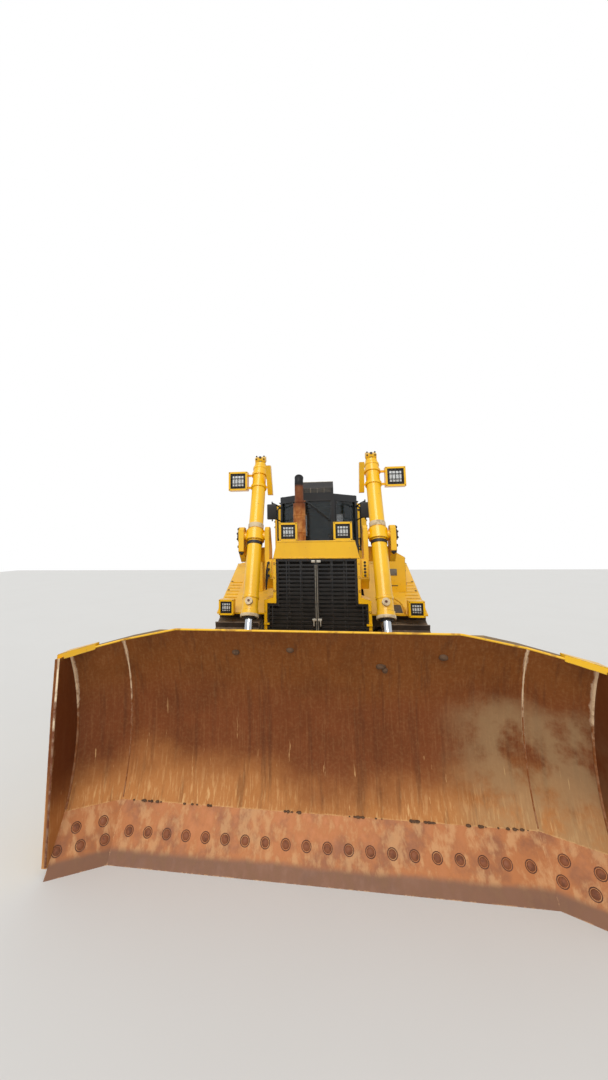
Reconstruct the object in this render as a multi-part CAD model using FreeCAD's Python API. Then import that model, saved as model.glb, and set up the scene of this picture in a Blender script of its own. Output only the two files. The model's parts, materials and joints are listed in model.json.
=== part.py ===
import FreeCAD, Part
import math
import os

# Crawler bulldozer with raised drive sprockets, a semi-U blade and a single-shank ripper.
# Millimetres. The front faces -Y, +X is the machine's left, the ground is z = 0.
# While it is laid out, y = 0 is the middle of the ground contact.

os.makedirs("parts", exist_ok=True)
V = FreeCAD.Vector
X, Y, Z = V(1, 0, 0), V(0, 1, 0), V(0, 0, 1)

# Driving dimensions of the machine
trackGauge = 2083.0
shoeWidth = 560.0
groundContact = 3207.0
bladeWidth = 3880.0
bladeHeight = 1690.0
hoodWidth = 920.0
hoodTop = 2390.0

# Running clearances
pinGap = 0.3
sideGap = 6.0
seatGap = 0.3

# Track chain
linkPitch = 216.0
railHeight = 110.0
railWidth = 45.0
railOffset = 95.0
shoePlate = 20.0
shoeGap = 8.0
grouserHeight = 70.0
grouserBase = 26.0
grouserTip = 14.0
grouserPlace = 0.72

# Wheels inside the track
idlerPitchRadius = 355.0
sprocketPitchRadius = 430.0
sprocketY = 600.0
sprocketZ = 1400.0
sprocketWidth = 70.0
sprocketTeeth = 25
toothHeight = 34.0
rollerRadius = 110.0
rollerCount = 8
rollerSpan = 2300.0
rollerFlange = 24.0
wheelHalfWidth = 122.0
guideHalfWidth = 62.0

# Roller frame beside each track's rollers
frameHalfWidth = 165.0
framePlate = 24.0
frameBottom = 300.0
frameTop = 700.0
frameFront = -1190.0
frameRear = 1230.0

# Blade trunnion on the outside of the roller frame
trunnionY = 150.0
trunnionZ = 560.0
trunnionRadius = 80.0
armInside = 1402.0
armWidth = 160.0


def box(x0, x1, y0, y1, z0, z1):
    return Part.makeBox(x1 - x0, y1 - y0, z1 - z0, V(x0, y0, z0))


def rod(start, end, radius):
    along = end - start
    return Part.makeCylinder(radius, along.Length, start, along)


def barX(x0, x1, y, z, radius):
    return rod(V(x0, y, z), V(x1, y, z), radius)


def tubeX(x0, x1, y, z, radius, bore):
    return barX(x0, x1, y, z, radius).cut(barX(x0 - 1, x1 + 1, y, z, bore))


def slabX(outline, x0, x1):
    """A plate of constant thickness, cut to an outline of (y, z) points."""
    points = [V(x0, y, z) for y, z in outline]
    return Part.Face(Part.makePolygon(points + points[:1])).extrude(V(x1 - x0, 0, 0))


def slabZ(outline, z0, z1):
    points = [V(x, y, z0) for x, y in outline]
    return Part.Face(Part.makePolygon(points + points[:1])).extrude(V(0, 0, z1 - z0))


def slabY(outline, y0, y1):
    points = [V(x, y0, z) for x, z in outline]
    return Part.Face(Part.makePolygon(points + points[:1])).extrude(V(0, y1 - y0, 0))


def turned(profile, y, z):
    """A solid of revolution about a cross axle; the profile is (x, radius) points."""
    points = [V(x, y, z + radius) for x, radius in profile]
    return Part.Face(Part.makePolygon(points + points[:1])).revolve(V(0, y, z), X, 360)


def fused(*shapes):
    whole = shapes[0].multiFuse(list(shapes[1:])) if len(shapes) > 1 else shapes[0]
    return whole.removeSplitter()


def mirrored(shape):
    return shape.mirror(V(0, 0, 0), X)


def group(*shapes):
    return Part.makeCompound(list(shapes))


nodes = {}

# Heights that follow from the chain
pitchLine = railHeight / 2 + shoePlate + grouserHeight
idlerZ = idlerPitchRadius + pitchLine
idlerY = groundContact / 2
railTop = pitchLine + railHeight / 2
trackX = trackGauge / 2
trackOutside = trackX + shoeWidth / 2

# Chain path: three wheels, listed the way the chain passes them
wheels = [
    (-idlerY, idlerZ, idlerPitchRadius),
    (idlerY, idlerZ, idlerPitchRadius),
    (sprocketY, sprocketZ, sprocketPitchRadius),
]


def outwardAngle(wheelA, wheelB):
    dy = wheelB[0] - wheelA[0]
    dz = wheelB[1] - wheelA[1]
    return math.atan2(dz, dy) - math.acos((wheelA[2] - wheelB[2]) / math.hypot(dy, dz))


def onWheel(wheel, angle):
    return (wheel[0] + wheel[2] * math.cos(angle), wheel[1] + wheel[2] * math.sin(angle))


def chainPath():
    """Straight and arc stretches of the pin line, each as (length, place along it)."""
    stretches = []
    for i, wheel in enumerate(wheels):
        after = wheels[(i + 1) % 3]
        before = wheels[i - 1]
        arrive = outwardAngle(before, wheel)
        leave = outwardAngle(wheel, after)
        turn = (leave - arrive) % (2 * math.pi)
        start = onWheel(wheel, leave)
        end = onWheel(after, leave)
        run = math.hypot(end[0] - start[0], end[1] - start[1])
        stretches.append((wheel[2] * turn, ("arc", wheel, arrive, turn)))
        stretches.append((run, ("run", start, end)))
    return stretches


def pinPoints():
    stretches = chainPath()
    total = sum(length for length, place in stretches)
    count = round(total / linkPitch)
    points = []
    for i in range(count):
        travel = (i + 0.5) * total / count
        for length, place in stretches:
            if travel <= length:
                break
            travel -= length
        share = travel / length
        if place[0] == "arc":
            points.append(onWheel(place[1], place[2] + share * place[3]))
        else:
            (y0, z0), (y1, z1) = place[1], place[2]
            points.append((y0 + share * (y1 - y0), z0 + share * (z1 - z0)))
    return points


def offsetLoop(points, distance):
    """The pin polygon moved outward, with mitred corners."""
    moved = []
    for i, (y, z) in enumerate(points):
        yA, zA = points[i - 1]
        yB, zB = points[(i + 1) % len(points)]
        inward = math.atan2(z - zA, y - yA)
        onward = math.atan2(zB - z, yB - y)
        half = ((onward - inward + math.pi) % (2 * math.pi) - math.pi) / 2
        normal = inward + half - math.pi / 2
        reach = distance / math.cos(half)
        moved.append((y + reach * math.cos(normal), z + reach * math.sin(normal)))
    return moved


def trackChain(centre):
    pins = pinPoints()
    outer = offsetLoop(pins, railHeight / 2)
    inner = offsetLoop(pins, -railHeight / 2)
    pieces = []
    for side in (-1, 1):
        x0 = centre + side * railOffset - railWidth / 2
        x1 = x0 + railWidth
        pieces.append(slabX(outer, x0, x1).cut(slabX(inner, x0 - 1, x1 + 1)))
    for i, (y0, z0) in enumerate(pins):
        y1, z1 = pins[(i + 1) % len(pins)]
        length = math.hypot(y1 - y0, z1 - z0)
        ty, tz = (y1 - y0) / length, (z1 - z0) / length
        low = railHeight / 2
        plate = low + shoePlate
        tip = plate + grouserHeight
        crest = length * grouserPlace
        shoe = [
            (shoeGap / 2, low),
            (length - shoeGap / 2, low),
            (length - shoeGap / 2, plate),
            (crest + grouserBase / 2, plate),
            (crest + grouserTip / 2, tip),
            (crest - grouserTip / 2, tip),
            (crest - grouserBase / 2, plate),
            (shoeGap / 2, plate),
        ]
        outline = [(y0 + a * ty + h * tz, z0 + a * tz - h * ty) for a, h in shoe]
        pieces.append(slabX(outline, centre - shoeWidth / 2, centre + shoeWidth / 2))
    return pieces[0].multiFuse(pieces[1:])


trackLeft = trackChain(trackX)
nodes["track_left"] = trackLeft
nodes["track_right"] = mirrored(trackLeft)

# Idlers, front and rear: they run on the straight links, so they stay inside the chords
halfTurn = linkPitch / 2 / idlerPitchRadius
idlerTread = idlerPitchRadius * math.cos(halfTurn) - railHeight / 2 - seatGap
idlerHub = 120.0
axleRadius = 55.0


def idler(y):
    w, g = wheelHalfWidth, guideHalfWidth
    tread = idlerTread
    profile = [
        (trackX - w, 0),
        (trackX - w, tread),
        (trackX - g, tread),
        (trackX - g, tread + rollerFlange),
        (trackX + g, tread + rollerFlange),
        (trackX + g, tread),
        (trackX + w, tread),
        (trackX + w, 0),
    ]
    wheel = turned(profile, y, idlerZ)
    for side in (-1, 1):
        x0 = trackX + side * w
        dish = turned([
            (x0, idlerHub),
            (x0, tread - 50),
            (x0 - side * 40, tread - 75),
            (x0 - side * 40, idlerHub),
        ], y, idlerZ)
        wheel = wheel.cut(dish)
    inside = frameHalfWidth - framePlate
    return wheel.fuse(barX(trackX - inside, trackX + inside, y, idlerZ, axleRadius))


idlersLeft = group(idler(-idlerY), idler(idlerY))

# Track rollers hang in the roller frame and ride on the rails
rollerZ = railTop + rollerRadius + seatGap
rollerStep = rollerSpan / (rollerCount - 1)
rollerYs = [-rollerSpan / 2 + i * rollerStep for i in range(rollerCount)]


def trackRoller(y):
    w, g = wheelHalfWidth, guideHalfWidth
    grip = rollerRadius + rollerFlange
    profile = [
        (trackX - w, 0),
        (trackX - w, rollerRadius),
        (trackX - g, rollerRadius),
        (trackX - g, grip),
        (trackX + g, grip),
        (trackX + g, rollerRadius),
        (trackX + w, rollerRadius),
        (trackX + w, 0),
    ]
    inside = frameHalfWidth - framePlate
    shaft = barX(trackX - inside, trackX + inside, y, rollerZ, axleRadius / 2)
    return turned(profile, y, rollerZ).fuse(shaft)


rollersLeft = group(*[trackRoller(y) for y in rollerYs])
nodes["rollers_left"] = group(*idlersLeft.Solids, *rollersLeft.Solids)
nodes["rollers_right"] = mirrored(nodes["rollers_left"])

# Raised drive sprockets with their final drives
caseHalfWidth = 400.0
driveRadius = 330.0
driveNose = 250.0
driveOutside = 1240.0


def sprocketRing():
    root = sprocketPitchRadius - toothHeight
    tip = sprocketPitchRadius + 4
    step = 2 * math.pi / sprocketTeeth
    outline = []
    for i in range(sprocketTeeth):
        for share, radius in ((-0.30, root), (-0.10, tip), (0.10, tip), (0.30, root)):
            angle = (i + share) * step
            outline.append((sprocketY + radius * math.cos(angle), sprocketZ + radius * math.sin(angle)))
    return slabX(outline, trackX - sprocketWidth / 2, trackX + sprocketWidth / 2)


driveProfile = [
    (caseHalfWidth, 0),
    (caseHalfWidth, driveRadius),
    (trackX - 150, driveRadius),
    (trackX - 110, driveNose),
    (driveOutside - 60, driveNose),
    (driveOutside, driveNose - 60),
    (driveOutside, 0),
]
nodes["sprocket_left"] = fused(sprocketRing(), turned(driveProfile, sprocketY, sprocketZ))
nodes["sprocket_right"] = mirrored(nodes["sprocket_left"])

# Roller frames: a box over the rollers, cheek plates outside them, and yokes to the idlers
boxBottom = rollerZ + rollerRadius + rollerFlange + sideGap
yokeHeight = 150.0
yokeReach = 90.0
pivotRadius = 95.0
pivotY = 430.0


def rollerFrame():
    x0 = trackX - frameHalfWidth
    x1 = trackX + frameHalfWidth
    spine = slabX([
        (frameFront, boxBottom),
        (frameFront, frameTop - 70),
        (frameFront + 260, frameTop),
        (frameRear - 260, frameTop),
        (frameRear, frameTop - 70),
        (frameRear, boxBottom),
    ], x0, x1)
    parts = [spine]
    for xa, xb in ((x0, x0 + framePlate), (x1 - framePlate, x1)):
        parts.append(box(xa, xb, frameFront, frameRear, frameBottom, boxBottom))
        for yEnd, y in ((frameFront, -idlerY - yokeReach), (frameRear, idlerY + yokeReach)):
            ya, yb = min(yEnd, y), max(yEnd, y)
            parts.append(box(xa, xb, ya, yb, idlerZ - yokeHeight / 2, idlerZ + yokeHeight / 2))
    post = box(x1, armInside - sideGap * 5, trunnionY - 150, trunnionY + 150, trunnionZ - 130, trunnionZ + 130)
    pin = barX(x1, armInside + armWidth + 20, trunnionY, trunnionZ, trunnionRadius)
    return fused(*parts, post, pin)


nodes["roller_frame_left"] = rollerFrame()
nodes["roller_frame_right"] = mirrored(nodes["roller_frame_left"])

# Main frame: two rails, cross members, belly guard and the rear case
railInside = 300.0
railOutside = 420.0
frameRailBottom = 660.0
frameRailTop = 900.0
guardPlate = 20.0
nose = -1480.0
caseRear = 1560.0
caseTop = 1700.0

rails = [
    box(side * railInside if side > 0 else -railOutside, railOutside if side > 0 else -railInside,
        nose, 420, frameRailBottom, frameRailTop)
    for side in (-1, 1)
]
rearCase = slabX([
    (240, frameRailTop),
    (400, frameRailBottom - guardPlate),
    (caseRear - 80, frameRailBottom - guardPlate),
    (caseRear, frameRailTop),
    (caseRear, 1350),
    (1120, caseTop),
    (200, caseTop),
    (200, 1100),
], -caseHalfWidth, caseHalfWidth)
bellyGuard = box(-railOutside, railOutside, nose, 420, frameRailBottom - guardPlate, frameRailBottom)
noseBeam = box(-railOutside, railOutside, nose, nose + 110, frameRailBottom, frameRailTop)
cabMountTop = sprocketZ + driveRadius + 20.0
cabMounts = [box(x - 60, x + 60, y - 60, y + 60, caseTop - 5, cabMountTop)
             for x in (-300, 300) for y in (330, 1030)]

# The pivot shaft stands out of the frame's sides and carries the roller frames
frameInside = trackX - frameHalfWidth
pivotShaft = [
    barX(railOutside, frameInside, pivotY, trunnionZ + 120, pivotRadius),
    barX(-frameInside, -railOutside, pivotY, trunnionZ + 120, pivotRadius),
]

tankBottom = 1440.0
tankBrackets = [slabX([
    (caseRear - 60, 1180),
    (caseRear - 60, tankBottom),
    (1980.0, tankBottom),
    (1980.0, tankBottom - 60),
], x0, x1) for x0, x1 in ((384.0, caseHalfWidth), (-caseHalfWidth, -384.0))]
# Tow tongue on the nose, bored upright for a pin
towBore = 27.5
towRadius = 75.0
towY = nose - 140.0
towZ = 720.0
towThick = 70.0
tongue = Part.makeCylinder(towRadius, towThick, V(0, towY, towZ))
tongue = tongue.fuse(box(-towRadius, towRadius, towY, nose + 50, towZ, towZ + towThick))
frame = fused(*rails, rearCase, bellyGuard, noseBeam, *cabMounts, *pivotShaft, *tankBrackets, tongue)
nodes["main_frame"] = frame.cut(Part.makeCylinder(towBore, towThick + 20, V(0, towY, towZ - 10)))

# The equalizer bar joins the roller frames' front ends under the main frame
equalizerY = -950.0
equalizerTop = frameRailBottom - guardPlate - 10.0
equalizerDepth = 110.0
equalizer = slabY([
    (-frameInside, equalizerTop - 90),
    (-frameInside, equalizerTop),
    (-200, equalizerTop),
    (200, equalizerTop),
    (frameInside, equalizerTop),
    (frameInside, equalizerTop - 90),
    (200, equalizerTop - 120),
    (-200, equalizerTop - 120),
], equalizerY - equalizerDepth / 2, equalizerY + equalizerDepth / 2)
saddle = box(-90, 90, equalizerY - 60, equalizerY + 60, equalizerTop, frameRailBottom - guardPlate)
nodes["equalizer_bar"] = fused(equalizer, saddle)

# Blade: a concave moldboard swept straight across, with wings set forward at both ends
bladeFaceY = -2850.0
bladeDeepY = -2588.0
bladeDeepZ = 850.0
edgeTopY = -2700.0
edgeTopZ = 330.0
edgeTipY = -2914.0
edgeThick = 38.0
moldboardThick = 30.0
seamX = 1560.0
wingAngle = 28.0
wingEndX = 1930.0
endPlateThick = 40.0
slopeStartX = 1090.0
slopeFall = 0.22
boxRearY = -2340.0
eyeLugRadius = 74.0
ribThick = 25.0

faceTop = V(0, bladeFaceY, bladeHeight)
faceDeep = V(0, bladeDeepY, bladeDeepZ)
faceFoot = V(0, edgeTopY, edgeTopZ)
faceCurve = Part.Arc(faceTop, faceDeep, faceFoot).toShape().Curve
faceCentre = faceCurve.Center
faceRadius = faceCurve.Radius
wingRun = wingEndX - seamX
wingSweep = V(wingRun, -wingRun * math.tan(math.radians(wingAngle)), 0)


def behindFace(point, depth):
    """The point that lies behind a point of the face, square to the plate."""
    out = point - faceCentre
    return faceCentre + out * ((faceRadius + depth) / faceRadius)


def moldboardSection(x):
    shift = V(x, 0, 0)
    front = Part.Arc(faceTop + shift, faceDeep + shift, faceFoot + shift).toShape()
    backTop = behindFace(faceTop, moldboardThick) + shift
    backDeep = behindFace(faceDeep, moldboardThick) + shift
    backFoot = behindFace(faceFoot, moldboardThick) + shift
    back = Part.Arc(backTop, backDeep, backFoot).toShape()
    lid = Part.LineSegment(faceTop + shift, backTop).toShape()
    sole = Part.LineSegment(faceFoot + shift, backFoot).toShape()
    return Part.Face(Part.Wire(Part.__sortEdges__([front, sole, back, lid])))


def swept(face, sweep):
    return face.extrude(sweep)


def sectionX(outline, x):
    points = [V(x, y, z) for y, z in outline]
    return Part.Face(Part.makePolygon(points + points[:1]))


lowerBox = [
    (edgeTopY + edgeThick, edgeTopZ),
    (edgeTopY + edgeThick + (edgeTipY - edgeTopY) * 0.62, edgeTopZ * 0.38),
    (-2620.0, 90.0),
    (boxRearY, 290.0),
    (boxRearY, 640.0),
    (-2560.0, 770.0),
]
upperBox = [
    (-2800.0, 1650.0),
    (-2620.0, 1640.0),
    (-2560.0, 1480.0),
    (-2600.0, 1380.0),
    (-2700.0, 1370.0),
]
edgeOutline = [
    (edgeTopY, edgeTopZ),
    (edgeTipY, 0.0),
    (edgeTipY + edgeThick, 0.0),
    (edgeTopY + edgeThick, edgeTopZ),
]
ribOutline = [
    (-2590.0, 700.0),
    (boxRearY + 20, 640.0),
    (boxRearY - 60, 800.0),
    (-2580.0, 1420.0),
    (-2680.0, 1400.0),
]
ribPlaces = (0.0, 330.0, 980.0, 1330.0)
faceVoid = barX(-bladeWidth, bladeWidth, faceCentre.y, faceCentre.z, faceRadius + moldboardThick / 2)
ballRoom = 6.0

# Pins at the back of the blade
ballX = armInside + armWidth / 2
ballY = -2200.0
ballZ = trunnionZ
ballPin = 50.0
lugHalf = 25.0
lugRadius = 90.0
liftX = 700.0
eyeY = -2180.0
eyeZ = 640.0
eyeHalf = 40.0
eyeSwing = 35.0
strutY = -2450.0
strutZ = 1230.0
strutHalf = 35.0
strutSwing = 22.0
cheek = 25.0


def lug(y, z, radius, rootY, rootLow, rootHigh, x0, x1):
    """A plate from the blade's back to a pin, rounded about the pin."""
    tongue = slabX([(rootY, rootLow), (y, z - radius), (y, z + radius), (rootY, rootHigh)], x0, x1)
    return tongue.fuse(barX(x0, x1, y, z, radius))


def halfBlade():
    middle = swept(moldboardSection(0), V(seamX, 0, 0))
    wing = swept(moldboardSection(seamX), wingSweep)
    parts = []
    for outline in (lowerBox, upperBox):
        parts.append(swept(sectionX(outline, 0), V(seamX, 0, 0)).cut(faceVoid))
    wingBox = swept(sectionX(lowerBox, seamX), wingSweep)
    wingTop = swept(sectionX(upperBox, seamX), wingSweep)
    wingVoid = swept(Part.Face(Part.Wire(Part.makeCircle(
        faceRadius + moldboardThick / 2, V(seamX, faceCentre.y, faceCentre.z), X))), wingSweep)
    parts += [wingBox.cut(wingVoid), wingTop.cut(wingVoid)]
    for x in ribPlaces:
        parts.append(slabX(ribOutline, max(0, x - ribThick / 2), x + ribThick / 2).cut(faceVoid))
    drop = wingSweep.y
    endPlate = slabX([
        (bladeFaceY + drop - 12, bladeHeight),
        (bladeFaceY + drop - 30, 1100.0),
        (edgeTipY + drop + 30, 60.0),
        (-2620.0 + drop, 90.0),
        (boxRearY + drop, 290.0),
        (boxRearY + drop, 640.0),
        (-2480.0 + drop, 1200.0),
        (-2560.0 + drop, bladeHeight),
    ], wingEndX, wingEndX + endPlateThick)
    parts.append(endPlate)
    for side in (-1, 1):
        inner = liftX + side * (eyeHalf + eyeSwing)
        outer = inner + side * cheek
        x0, x1 = min(inner, outer), max(inner, outer)
        parts.append(lug(eyeY, eyeZ, eyeLugRadius, -2560.0, 500.0, 860.0, x0, x1).cut(faceVoid))
        inner = ballX + side * (strutHalf + strutSwing)
        outer = inner + side * cheek
        x0, x1 = min(inner, outer), max(inner, outer)
        parts.append(lug(strutY, strutZ, 60.0, -2610.0, 1120.0, 1360.0, x0, x1).cut(faceVoid))
    parts.append(lug(ballY, ballZ, lugRadius, boxRearY - 20, 420.0, 630.0, ballX - lugHalf, ballX + lugHalf))
    whole = middle.multiFuse([wing] + parts)
    pinRoom = barX(ballX - 200, ballX + 200, ballY + ballRoom - pinGap, ballZ, ballPin + ballRoom)
    whole = whole.cut(pinRoom)
    for sweepStart, sweep in ((0, V(seamX, 0, 0)), (seamX, wingSweep)):
        whole = whole.cut(swept(sectionX(edgeOutline, sweepStart), sweep))
    corner = slabY([
        (-50.0, bladeHeight),
        (slopeStartX, bladeHeight),
        (bladeWidth, bladeHeight - (bladeWidth - slopeStartX) * slopeFall),
        (bladeWidth, bladeHeight * 2),
        (-50.0, bladeHeight * 2),
    ], bladeFaceY - 600, boxRearY + 600)
    return whole.cut(corner)


leftHalf = halfBlade()
nodes["blade"] = fused(leftHalf, mirrored(leftHalf))

# Cutting edges between the seams and an end bit under each wing
middleEdge = swept(sectionX(edgeOutline, -seamX), V(seamX * 2, 0, 0))
leftBit = swept(sectionX(edgeOutline, seamX), wingSweep)
nodes["cutting_edge"] = group(middleEdge, leftBit, mirrored(leftBit))

# Bearing shells round the trunnions, between pin and push arm
shellThick = 20.0
shellBore = trunnionRadius + pinGap
shellRadius = shellBore + shellThick
shellLeft = tubeX(armInside, armInside + armWidth, trunnionY, trunnionZ, shellRadius, shellBore)
nodes["trunnion_shells"] = group(shellLeft, mirrored(shellLeft))

# Push arms: box beams outside the tracks, forked at the blade
armEye = 155.0
forkHalf = 50.0
forkRoom = 45.0
armBracketY = -1050.0
armBracketZ = 790.0
armBracketGap = 12.0
strutBall = 42.0
strutPin = 18.0


def pushArm():
    x0, x1 = armInside, armInside + armWidth
    beam = slabX([
        (trunnionY, trunnionZ + armEye),
        (trunnionY, trunnionZ - armEye),
        (-600.0, 395.0),
        (-1500.0, 410.0),
        (ballY, ballZ - lugRadius),
        (ballY, ballZ + lugRadius),
        (-1500.0, 690.0),
        (-600.0, 705.0),
    ], x0, x1)
    arm = beam.fuse(barX(x0, x1, trunnionY, trunnionZ, armEye))
    arm = arm.fuse(barX(x0, x1, ballY, ballZ, lugRadius))
    slotRear = ballY + lugRadius + forkRoom
    slot = box(ballX - forkHalf, ballX + forkHalf, ballY - 300, slotRear, ballZ - 300, ballZ + 300)
    arm = arm.cut(slot)
    arm = arm.cut(barX(x0 - 1, x1 + 1, trunnionY, trunnionZ, shellRadius + pinGap))
    pin = barX(x0 - 8, x1 + 8, ballY, ballZ, ballPin)
    ears = []
    for side in (-1, 1):
        inner = ballX + side * (strutHalf + armBracketGap)
        outer = inner + side * cheek
        xa, xb = min(inner, outer), max(inner, outer)
        ear = slabX([
            (armBracketY - 160, 640.0),
            (armBracketY + 160, 640.0),
            (armBracketY + 50, armBracketZ + 20),
            (armBracketY - 50, armBracketZ + 20),
        ], xa, xb)
        ears.append(ear.fuse(barX(xa, xb, armBracketY, armBracketZ, 60.0)))
    reach = strutHalf + armBracketGap + 5
    ears.append(barX(ballX - reach, ballX + reach, armBracketY, armBracketZ, strutPin))
    ears.append(Part.makeSphere(strutBall, V(ballX, armBracketY, armBracketZ), X))
    return arm.multiFuse([pin] + ears)


nodes["push_arm_left"] = pushArm()
nodes["push_arm_right"] = mirrored(nodes["push_arm_left"])

# Struts from the arms to the blade's upper corners: a fixed brace and a tilt cylinder
strutEye = 58.0
strutNeck = 33.0
strutClear = 195.0
braceRadius = 45.0
tiltBarrelRadius = 75.0
tiltRodRadius = 36.0
tiltGland = 820.0


def strutFrame(x):
    foot = V(x, armBracketY, armBracketZ)
    head = V(x, strutY, strutZ)
    return foot, head, (head - foot).normalize()


def eyeX(x, y, z, half, radius, bore):
    return tubeX(x - half, x + half, y, z, radius, bore)


foot, head, along = strutFrame(ballX)
span = (V(0, strutY, strutZ) - V(0, armBracketY, armBracketZ)).Length
brace = rod(foot + along * (strutEye - 12), head - along * (strutEye - 12), strutNeck)
braceTube = rod(foot + along * strutClear, head - along * strutClear, braceRadius)
braceNut = rod(foot + along * 330, head - along * 330, braceRadius + 18)
braceEyes = [barX(ballX - strutHalf, ballX + strutHalf, end.y, end.z, strutEye) for end in (foot, head)]
braceSolid = brace.multiFuse([braceTube, braceNut] + braceEyes)
nodes["tilt_brace"] = braceSolid.cut(Part.makeSphere(strutBall + pinGap, foot, X))
foot, head, along = strutFrame(-ballX)
barrelEye = barX(-ballX - strutHalf, -ballX + strutHalf, foot.y, foot.z, strutEye)
barrelNeck = rod(foot + along * (strutEye - 12), foot + along * (strutClear + 5), strutNeck)
barrelTube = rod(foot + along * strutClear, foot + along * tiltGland, tiltBarrelRadius).fuse(barrelNeck)
tiltBore = rod(foot + along * 230, foot + along * (tiltGland + 10), tiltRodRadius + pinGap)
barrelSolid = barrelTube.fuse(barrelEye).cut(tiltBore)
nodes["tilt_barrel"] = barrelSolid.cut(Part.makeSphere(strutBall + pinGap, foot, X))
tiltRodSolid = rod(foot + along * 480, head - along * (strutEye - 12), tiltRodRadius)
nodes["tilt_rod"] = tiltRodSolid.fuse(
    barX(-ballX - strutHalf, -ballX + strutHalf, head.y, head.z, strutEye))

# Lift cylinders: barrels on trunnions beside the radiator guard, rods down to the blade
liftY = -1400.0
liftZ = 2450.0
liftUpper = 960.0
liftLower = 925.0
liftBarrelRadius = 84.0
liftRodRadius = 42.0
liftRodInside = 20.0
collarRadius = 108.0
collarHalf = 62.0
liftPinRadius = 48.0
liftPinReach = 172.0
yokeInner = 122.0
yokeThick = 52.0
yokeInnerFace = liftX - yokeInner - yokeThick


def liftFrame():
    centre = V(liftX, liftY, liftZ)
    eye = V(liftX, eyeY, eyeZ)
    return centre, eye, (eye - centre).normalize()


def liftBarrel():
    centre, eye, down = liftFrame()
    tube = rod(centre - down * liftUpper, centre + down * liftLower, liftBarrelRadius)
    cap = rod(centre - down * (liftUpper + 46), centre - down * (liftUpper - 4), liftBarrelRadius - 12)
    band = rod(centre - down * collarHalf, centre + down * collarHalf, collarRadius)
    pins = barX(liftX - liftPinReach, liftX + liftPinReach, liftY, liftZ, liftPinRadius)
    gland = rod(centre + down * (liftLower - 70), centre + down * liftLower, liftBarrelRadius + 8)
    solid = tube.multiFuse([cap, band, pins, gland])
    bore = rod(centre - down * (liftUpper - 40), centre + down * (liftLower + 10), liftRodRadius + pinGap)
    return solid.cut(bore)


def liftRod():
    centre, eye, down = liftFrame()
    stem = rod(centre - down * liftRodInside, eye - down * 55, liftRodRadius)
    return stem.fuse(barX(liftX - eyeHalf, liftX + eyeHalf, eyeY, eyeZ, 72.0))


nodes["lift_barrel_left"] = liftBarrel()
nodes["lift_barrel_right"] = mirrored(nodes["lift_barrel_left"])
nodes["lift_rod_left"] = liftRod()
nodes["lift_rod_right"] = mirrored(nodes["lift_rod_left"])

# Radiator guard: a yellow box frame round the grille, wider below than above
guardFront = -1500.0
guardRear = -1200.0
guardLowHalf = 585.0
guardHighHalf = 482.0
guardTopHalf = hoodWidth / 2
guardStepZ = 1740.0
guardPanelZ = 2190.0
guardSill = 960.0
guardWall = 34.0


def bothSides(outline):
    """Mirrors a right-hand outline of (x, z) points into a closed one."""
    return outline + [(-x, z) for x, z in reversed(outline)]


guardOuter = slabY(bothSides([
    (guardLowHalf, frameRailTop),
    (guardLowHalf, guardStepZ),
    (guardHighHalf, guardStepZ + 30),
    (guardHighHalf, guardPanelZ),
    (guardTopHalf - 25, hoodTop),
]), guardFront, guardRear)
guardOpening = slabY(bothSides([
    (guardLowHalf - guardWall, guardSill),
    (guardLowHalf - guardWall, guardStepZ - guardWall),
    (guardHighHalf - guardWall, guardStepZ - guardWall),
    (guardHighHalf - guardWall, guardPanelZ),
]), guardFront - 1, guardRear + 1)
guardBody = guardOuter.cut(guardOpening)

# Radiator core, standing on the guard's sill behind the doors
coreFront = -1400.0
coreRear = -1240.0
coreSide = 12.0
nodes["radiator_core"] = slabY(bothSides([
    (guardLowHalf - guardWall - coreSide, guardSill),
    (guardLowHalf - guardWall - coreSide, guardStepZ - guardWall - coreSide),
    (guardHighHalf - guardWall - coreSide, guardStepZ - guardWall - coreSide),
    (guardHighHalf - guardWall - coreSide, guardPanelZ - coreSide),
]), coreFront, coreRear)

# Two grille doors of flat bars, hinged at the outside of the guard's opening
doorThick = 26.0
doorGap = 5.0
doorRim = 22.0
barHeight = 20.0
barPitch = 44.0
barDepth = 10.0
doorRibs = (0.36, 0.68)
grilleHingeX = guardLowHalf - guardWall - doorGap - 12.0
grilleHingeY = guardFront - 14.0


def grilleDoor():
    inner = doorGap / 2
    lowHalf = guardLowHalf - guardWall - doorGap
    highHalf = guardHighHalf - guardWall - doorGap
    low = guardSill + doorGap
    step = guardStepZ - guardWall - doorGap
    high = guardPanelZ - doorGap
    y0 = guardFront + 4.0
    y1 = y0 + doorThick
    outline = [(inner, low), (lowHalf, low), (lowHalf, step), (highHalf, step), (highHalf, high), (inner, high)]
    r = doorRim
    hole = [
        (inner + r, low + r),
        (lowHalf - r, low + r),
        (lowHalf - r, step - r),
        (highHalf - r, step - r),
        (highHalf - r, high - r),
        (inner + r, high - r),
    ]
    frame = slabY(outline, y0, y1).cut(slabY(hole, y0 - 1, y1 + 1))
    pieces = []
    z = low + r + barPitch - barHeight
    while z < high - r - barHeight:
        reach = lowHalf if z + barHeight < step - r else highHalf
        pieces.append(box(inner + r - 2, reach - r + 2, y0 + 2, y0 + 2 + barDepth, z, z + barHeight))
        z += barPitch
    for share in doorRibs:
        x = inner + share * highHalf
        pieces.append(box(x - 6, x + 6, y0 + 2 + barDepth, y1, low + 4, high - 4))
    knuckles = [rod(V(grilleHingeX, grilleHingeY, z), V(grilleHingeX, grilleHingeY, z + 90), 9.0)
                for z in (low + 90, step - 200)]
    leaves = [box(grilleHingeX - 9, grilleHingeX + 9, grilleHingeY, y0 + 3, z, z + 90)
              for z in (low + 90, step - 200)]
    return frame.multiFuse(pieces + knuckles + leaves)


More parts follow.
